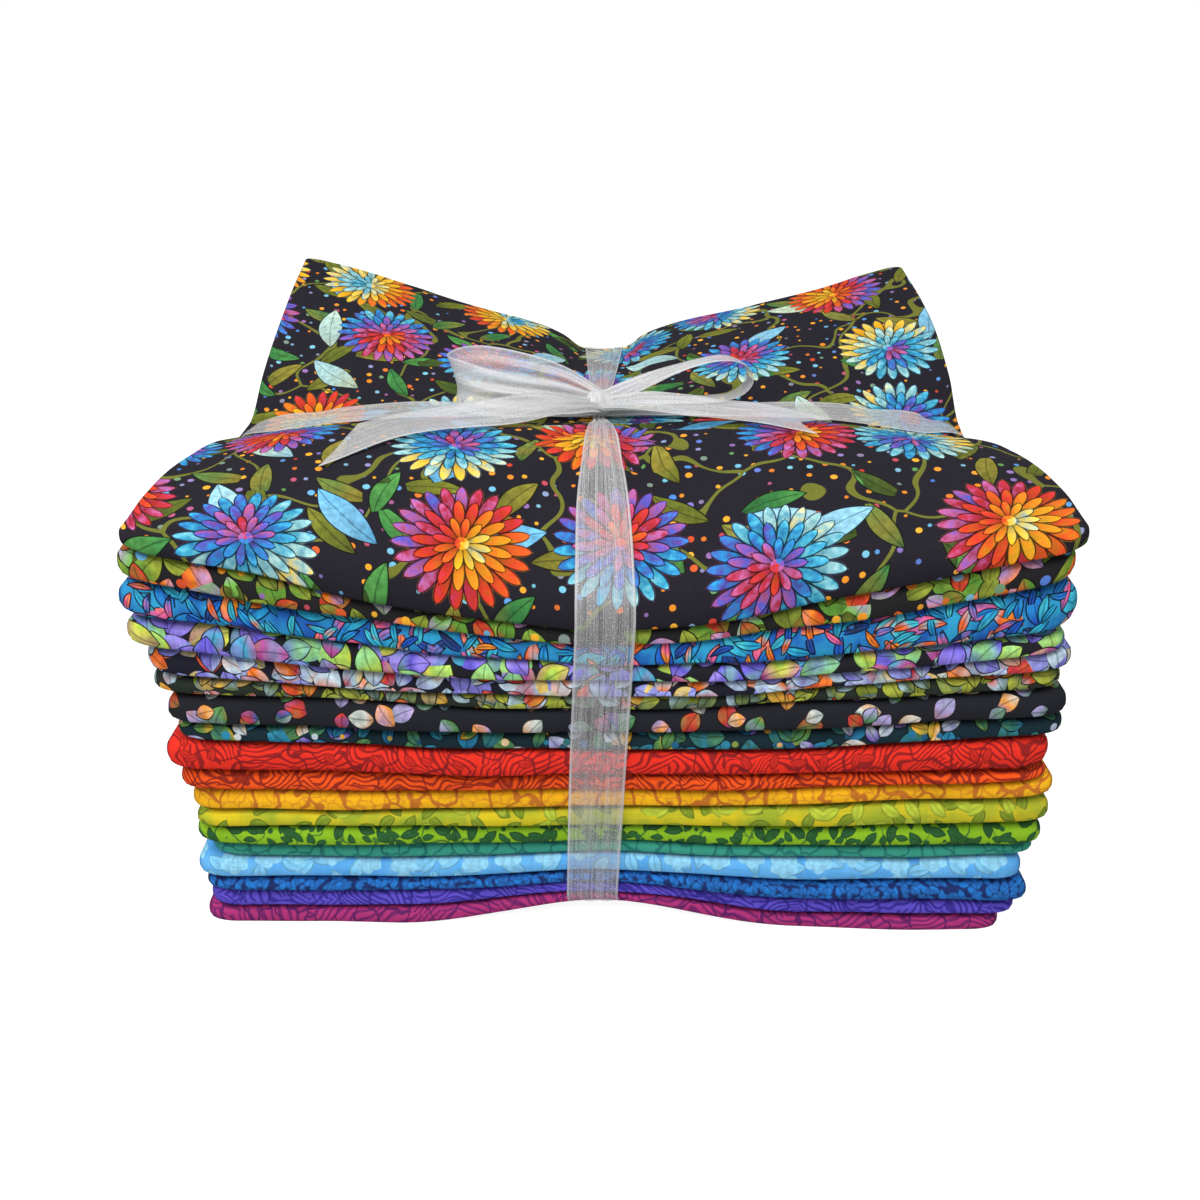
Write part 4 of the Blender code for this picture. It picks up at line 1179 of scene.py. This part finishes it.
def make_flower_group():
    """Round flowers of three rings of petals: their mask, and their hue and shade from 0 to 1."""
    given, made = motif_group("flowers")
    offset, chances, present = strewn(given, 0.38)
    size = given["Pitch"] * given["Long"]
    radius = vector_maths("LENGTH", {0: offset}, "Value") / given["Long"]
    x, y, _ = parts(offset)
    angle = maths("ARCTAN2", y, x)
    turn = angle / (2.0 * math.pi) + 0.5
    swing = maths("SINE", chances[0] * (2.0 * math.pi) + angle) * 0.14
    hue, shade, mask = 0.0, 1.0, 0.0
    for number, (inner, outer, share) in enumerate(PETAL_RINGS):
        petals = maths("ROUND", given["Wide"] * share)
        ring = group_copy("petal ring", {"Radius": radius, "Turn": turn, "Inner": inner, "Outer": outer,
                                         "Petals": petals, "Start": 0.37 * number, "Size": size})
        ring_hue = ring["Chance"] * 0.13 + (swing + (0.30 - 0.12 * number))
        ring_shade = ring["Along"] ** 0.6 * 0.95 + 0.12
        hue = between(ring["Edge"], hue, ring_hue)
        shade = between(ring["Mask"], between(ring["Edge"], shade, given["Outline"]), ring_shade)
        mask = maths("MAXIMUM", mask, ring["Edge"])
    wash = noise_at(given["Vector"], PETAL_WASH)
    heart = crisp((FLOWER_HEART - radius) * size)
    shade = between(heart, shade * (wash + 0.48), 0.9)
    put(made, {"Mask": maths("MAXIMUM", mask, heart) * present,
               "Hue": maths("FRACT", (wash - 0.5) * 0.22 + hue + chances[2] * 2.7),
               "Shade": between(given["Outline"], shade, 1.0)})


def make_leaf_group():
    """Leaves strewn at all angles: their mask, the hue of each from 0 to 1, and a shade along the rib."""
    given, made = motif_group("leaves")
    offset, chances, present = strewn(given, 0.85)
    x, y, _ = parts(offset)
    angle = chances[0] * math.pi
    sine, cosine = maths("SINE", angle), maths("COSINE", angle)
    along = x * cosine + y * sine
    aside = maths("ABSOLUTE", y * cosine - x * sine + along ** 2.0 * LEAF_BEND)
    reach = along / given["Long"]
    inside = ((1.0 - reach ** 2.0) * given["Wide"] - aside) * given["Pitch"]
    drift = noise_at(given["Vector"], 0.9 / given["Pitch"], 1.0)
    rib = crisp(aside * given["Pitch"] - LEAF_RIB)
    wash = noise_at(given["Vector"], LEAF_WASH)
    shade = (reach * 0.25 + 0.95) * (wash + 0.5) * between(rib, 0.45, 1.0)
    shade = between(given["Outline"], shade, 1.0)
    put(made, {"Mask": crisp(inside + OUTLINE) * present,
               "Hue": maths("FRACT", chances[2] * 1.3 + drift * 0.5),
               "Shade": between(crisp(inside), given["Outline"], shade)})


def make_dot_group():
    """Round dots of uneven size: their mask, hue and shade."""
    given, made = motif_group("dots")
    offset, chances, present = strewn(given, 0.75)
    spare = (chances[0] * 0.7 + 0.55) * given["Long"] - vector_maths("LENGTH", {0: offset}, "Value")
    put(made, {"Mask": crisp(spare * given["Pitch"]) * present, "Hue": chances[2],
               "Shade": chances[0] * 0.3 + 0.8})


def strayed(given, scale):
    """The place on the cloth in pitches, pushed about by a slow noise by the group's Long."""
    push = noise_at(given["Vector"], scale / given["Pitch"], 1.0, output=1) - (0.5, 0.5, 0.5)
    return given["Vector"] * (1.0 / given["Pitch"]) + push * (given["Long"] * 2.0)


def put_line(made, given, inside):
    """Fills the outputs of a group whose lines all have one hue."""
    put(made, {"Mask": crisp(inside * given["Pitch"]) * given["Share"], "Hue": 0.5, "Shade": 1.0})


def make_line_group():
    """Flowing lines in patches that each run their own way."""
    given, made = motif_group("lines")
    place = strayed(given, 0.16)
    patch = cells(place * (0.11, 0.2, 1.0))
    angle = parts(patch["Color"])[0] * 2.2 + 0.5
    x, y, _ = parts(place)
    across = x * maths("COSINE", angle) + y * maths("SINE", angle)
    off = maths("ABSOLUTE", maths("FRACT", across) - 0.5)
    put_line(made, given, given["Wide"] * (patch["Distance"] * -0.25 + 1.1) - off)


def make_net_group():
    """Thin branching lines between uneven cells."""
    given, made = motif_group("net")
    edge = cells(strayed(given, 1.3), feature="DISTANCE_TO_EDGE")["Distance"]
    put_line(made, given, given["Wide"] - edge)


def make_blotch_group():
    """Soft watery blotches: their mask, hue and shade."""
    given, made = motif_group("blotches")
    cloud = noise_at(given["Vector"], 1.0 / given["Pitch"], 3.0)
    soft = maths("MULTIPLY_ADD", cloud, 3.2, -1.15, clamp=True)
    put(made, {"Mask": soft * given["Share"], "Hue": cloud, "Shade": 1.0})


PATTERN_GROUPS = (make_weave_group, make_petal_group, make_flower_group, make_leaf_group, make_dot_group,
                  make_line_group, make_net_group, make_blotch_group)


def new_material(name):
    """A plain node material: the material, its tree and the inputs of its main shader."""
    material = bpy.data.materials.new(name)
    material.use_nodes = True
    return material, material.node_tree, material.node_tree.nodes["Principled BSDF"].inputs


def cloth_material(index, look):
    """Printed quilting cotton: the cut's print on its ground, with the weave's tone and relief, and a
    highlight painted on the crowns of its threads.
    """
    name = CUTS[index].node
    material, tree, shader = new_material(name)
    place = Signal(new_node(tree, "ShaderNodeTexCoord")["UV"])
    place = place + tuple(shift * (index + 1) for shift in CUT_SHIFT)
    weave = group_copy("plain weave", {"Vector": place, "Pitch": look.weave_pitch})
    colour = PRINTS[name].ground
    for number, layer in enumerate(PRINTS[name].layers):
        marks = group_copy(layer.motif, {
            "Vector": place + tuple(shift * number for shift in LAYER_SHIFT), "Pitch": layer.pitch * MM,
            "Long": layer.long, "Wide": layer.wide, "Share": layer.share,
            "Outline": TONAL_OUTLINE if isinstance(layer.colours, tuple) else DARK_OUTLINE})
        own = layer.colours if isinstance(layer.colours, tuple) else ramp(marks["Hue"], layer.colours)
        colour = blend(marks["Mask"], colour, own * marks["Shade"])
    tone = weave["Tone"] * (noise_at(place, WORN_SCALE, 3.0) * 0.16 + 0.92)
    # The base colour holds a painted highlight on the crowns of the threads
    put(shader, {"Base Color": colour * tone + PAINTED_CROWN_HIGHLIGHT * weave["Crowns"],
                 "Roughness": weave["Height"] * 0.06 + (look.roughness - 0.06),
                 "Normal": relief(weave["Height"], 0.32, 0.12 * MM),
                 "Specular IOR Level": CLOTH_GLOSS})
    return material


def ribbon_material(name, cover, colour):
    """Sheer ribbon: a fine open mesh that is denser in places, with bright woven edges and a sparkle of
    glints painted into its colour and cover.
    """
    material, tree, shader = new_material(name)
    place = Signal(new_node(tree, "ShaderNodeTexCoord")["UV"])
    past_edge = maths("ABSOLUTE", parts(place)[0]) - (RIBBON_WIDTH / 2.0 - RIBBON_EDGE)
    threads = noise_at(place * WARP_SCALE, 1.0, 1.0) + noise_at(place * WEFT_SCALE, 1.0, 1.0) * 0.16
    across, along, _ = parts(place * (2.0 * math.pi / RIBBON_MESH))
    line = maths("SINE", across)
    mesh = line * maths("SINE", along)
    cloud = noise_at(place, CLOUD_SCALE)
    # Glints: a fine noise that paints highlights into the ribbon's colour, and also sets its roughness and
    # relief
    glint = noise_at(place, GLINT_SCALE, 1.0)
    # The brightest glints, painted as highlights into the colour and the cover
    painted_sparkle = maths("MULTIPLY_ADD", glint, 9.0, -6.0, clamp=True)
    cover_here = (threads - 0.58) * 0.34 + cover + line * 0.05 + mesh * 0.06
    cover_here = cover_here + (cloud - 0.5) * 0.07 + painted_sparkle * 0.30
    cover_here = maths("MULTIPLY_ADD", crisp(past_edge, 0.4 * MM), 0.28, cover_here, clamp=True)
    gather = Signal(new_node(tree, "ShaderNodeAttribute", attribute_name="gather")["Fac"])
    # The base colour is brightened by painted glints and a painted sparkle
    put(shader, {"Alpha": 1.0 - (1.0 - cover_here) ** gather,
                 "Base Color": colour * (painted_sparkle * 0.30 + (glint * 0.20 + 0.80)),
                 "Roughness": glint * 0.5 + 0.12,
                 "Normal": relief(threads + glint, 0.5, 0.08 * MM),
                 "Specular IOR Level": 0.5, "Sheen Weight": 0.3})
    return material


def dress(piece, material):
    """Gives a piece its one material."""
    piece.data.materials.clear()
    piece.data.materials.append(material)


# The camera, as it was worked out from the photograph
CAMERA_PLACE = (-0.0026, -0.3745, 0.2594)
CAMERA_PITCH = 26.6
CAMERA_LENS = 29.58
SENSOR_WIDTH = 36.0

# The light: where the lamp stands and what it points at, and how bright the floor is to the camera
LAMP_PLACE = (-0.25, -0.62, 1.12)
LAMP_AIM = Vector((0.0, -0.02, 0.1))
FLOOR_GLOW = 0.90
WHITE = (1.0, 1.0, 1.0)


def amount(name, description, default, unit="LENGTH", least=0.0):
    """A setting that is a length, or an amount in another unit."""
    return FloatProperty(name=name, description=description, default=default, min=least, unit=unit)


def part_of_one(name, description, default):
    """A setting from 0 to 1."""
    return FloatProperty(name=name, description=description, default=default, min=0.0, max=1.0,
                         subtype="FACTOR")


def tint(name, description, default):
    """A setting that is a colour."""
    return FloatVectorProperty(name=name, description=description, default=default, min=0.0, max=1.0,
                               size=3, subtype="COLOR")


class BundleCloth(bpy.types.PropertyGroup):
    """How the cloth looks."""

    roughness: part_of_one("Roughness", "How dull the cotton is", CLOTH_ROUGHNESS)
    weave_pitch: amount("Weave pitch", "The distance from thread to thread", WEAVE_PITCH, least=0.0001)


class BundleRibbon(bpy.types.PropertyGroup):
    """How the ribbon looks."""

    colour: tint("Colour", "The colour of the ribbon's thread", (0.80, 0.80, 0.81))
    cover: part_of_one("Cover", "How much one side of the ribbon hides", 0.18)
    side_cover: part_of_one("Side band cover", "How much one side of the side band hides", 0.30)
    bow_cover: part_of_one("Bow cover", "How much one side of the bow's strips hides", 0.34)
    knot_cover: part_of_one("Knot cover", "How much the knot hides", 0.42)


class BundleStage(bpy.types.PropertyGroup):
    """The floor and the light."""

    floor_colour: tint("Floor colour", "The colour of the pale floor", (0.40, 0.40, 0.40))
    floor_size: amount("Floor size", "The side of the square floor", 8.0, least=1.0)
    sky_strength: amount("Sky strength", "The even light from all around", 0.46, unit="NONE")
    lamp_power: amount("Lamp power", "The power of the soft lamp", 14.5, unit="POWER")
    lamp_size: amount("Lamp size", "The side of the soft lamp", 0.7, least=0.05)


class BUNDLE_OT_lay_cuts(bpy.types.Operator):
    """Lay the eighteen folded cuts on each other and print them"""

    bl_idname = "fabric_bundle.lay_cuts"
    bl_label = "Lay the folded cuts"

    def execute(self, context):
        for make_group in PATTERN_GROUPS:
            make_group()
        for index in range(len(CUTS)):
            dress(make_cut(index), cloth_material(index, context.scene.bundle_cloth))
        return {"FINISHED"}


class BUNDLE_OT_tie_bands(bpy.types.Operator):
    """Lay the ribbon round the bundle both ways"""

    bl_idname = "fabric_bundle.tie_bands"
    bl_label = "Tie the ribbon round"

    def execute(self, context):
        look = context.scene.bundle_ribbon
        for make_band, cover in ((front_to_back_band, look.cover), (side_to_side_band, look.side_cover)):
            strip, length = make_band()
            finish_strip(strip)
            dress(strip, ribbon_material(strip.name, cover, tuple(look.colour)))
        return {"FINISHED"}


class BUNDLE_OT_tie_bow(bpy.types.Operator):
    """Tie the knot, two loops and two tails on the top"""

    bl_idname = "fabric_bundle.tie_bow"
    bl_label = "Tie the bow"

    def execute(self, context):
        look = context.scene.bundle_ribbon
        material = ribbon_material("ribbon_bow", look.bow_cover, tuple(look.colour))
        for strip, length in make_bow_strips():
            finish_strip(strip)
            dress(strip, material)
        knot = knot_piece()
        finish_piece(knot, "ribbon")
        dress(knot, ribbon_material("ribbon_knot", look.knot_cover, tuple(look.colour)))
        return {"FINISHED"}


class BUNDLE_OT_set_stage(bpy.types.Operator):
    """Set up the pale floor, the soft light and the camera"""

    bl_idname = "fabric_bundle.set_stage"
    bl_label = "Set the stage"

    def execute(self, context):
        look = context.scene.bundle_stage
        make_floor(look)
        make_light(look)
        make_camera()
        return {"FINISHED"}


class BUNDLE_PT_panel(bpy.types.Panel):
    """The sizes and colours of the bundle, and its steps"""

    bl_label = "Fabric bundle"
    bl_idname = "BUNDLE_PT_panel"
    bl_space_type = "VIEW_3D"
    bl_region_type = "UI"
    bl_category = "Fabric bundle"

    def draw(self, context):
        for group in (context.scene.bundle_cloth, context.scene.bundle_ribbon, context.scene.bundle_stage):
            box = self.layout.box()
            for name in group.bl_rna.properties.keys():
                if name not in ("rna_type", "name"):
                    box.prop(group, name)
        for operator in OPERATORS:
            self.layout.operator(operator.bl_idname)


def make_floor(look):
    """A plain pale floor, bright enough to meet the pale surroundings without a line."""
    deselect_all()
    bpy.ops.mesh.primitive_plane_add(size=look.floor_size, location=(0.0, 0.0, 0.0))
    floor = bpy.context.object
    floor.name = "floor"
    material, tree, shader = new_material("pale floor")
    mottle = noise_at(Signal(new_node(tree, "ShaderNodeTexCoord")["Object"]), 3.0)
    seen = Signal(new_node(tree, "ShaderNodeLightPath")["Is Camera Ray"])
    put(shader, {"Base Color": tuple(look.floor_colour) * (mottle * 0.02 + 0.98), "Roughness": 0.9,
                 "Specular IOR Level": 0.1, "Emission Color": WHITE, "Emission Strength": seen * FLOOR_GLOW})
    dress(floor, material)


def make_light(look):
    """Even light from all around, and one large soft lamp overhead. The surroundings are seen as white."""
    world = bpy.data.worlds.new("studio")
    world.use_nodes = True
    seen = Signal(new_node(world.node_tree, "ShaderNodeLightPath")["Is Camera Ray"])
    put(world.node_tree.nodes["Background"].inputs,
        {"Color": WHITE, "Strength": between(seen, look.sky_strength, 1.0)})
    bpy.context.scene.world = world
    bpy.ops.object.light_add(type="AREA", location=LAMP_PLACE)
    lamp = bpy.context.object
    lamp.name = "soft lamp"
    lamp.data.energy = look.lamp_power
    lamp.data.size = look.lamp_size
    towards = LAMP_AIM - lamp.location
    lamp.rotation_euler = towards.to_track_quat("-Z", "Y").to_euler()


def make_camera():
    """The camera at the photograph's place and angle."""
    bpy.ops.object.camera_add(location=CAMERA_PLACE, rotation=(math.radians(90.0 - CAMERA_PITCH), 0.0, 0.0))
    camera = bpy.context.object
    camera.data.lens = CAMERA_LENS
    camera.data.sensor_width = SENSOR_WIDTH
    camera.data.clip_start = 0.01
    bpy.context.scene.camera = camera
    bpy.context.scene.view_settings.view_transform = "Standard"


GROUPS = (BundleCloth, BundleRibbon, BundleStage)
OPERATORS = (BUNDLE_OT_lay_cuts, BUNDLE_OT_tie_bands, BUNDLE_OT_tie_bow, BUNDLE_OT_set_stage)


def register():
    """Makes the classes and the scene's settings known."""
    for item in (*GROUPS, *OPERATORS, BUNDLE_PT_panel):
        bpy.utils.register_class(item)
    bpy.types.Scene.bundle_cloth = PointerProperty(type=BundleCloth)
    bpy.types.Scene.bundle_ribbon = PointerProperty(type=BundleRibbon)
    bpy.types.Scene.bundle_stage = PointerProperty(type=BundleStage)


def unregister():
    """Takes the settings and the classes away again."""
    del bpy.types.Scene.bundle_stage
    del bpy.types.Scene.bundle_ribbon
    del bpy.types.Scene.bundle_cloth
    for item in (BUNDLE_PT_panel, *reversed(OPERATORS), *reversed(GROUPS)):
        bpy.utils.unregister_class(item)


def main():
    """Makes every piece in order."""
    register()
    bpy.ops.fabric_bundle.lay_cuts()
    bpy.ops.fabric_bundle.tie_bands()
    bpy.ops.fabric_bundle.tie_bow()
    bpy.ops.fabric_bundle.set_stage()


if __name__ == "__main__":
    main()
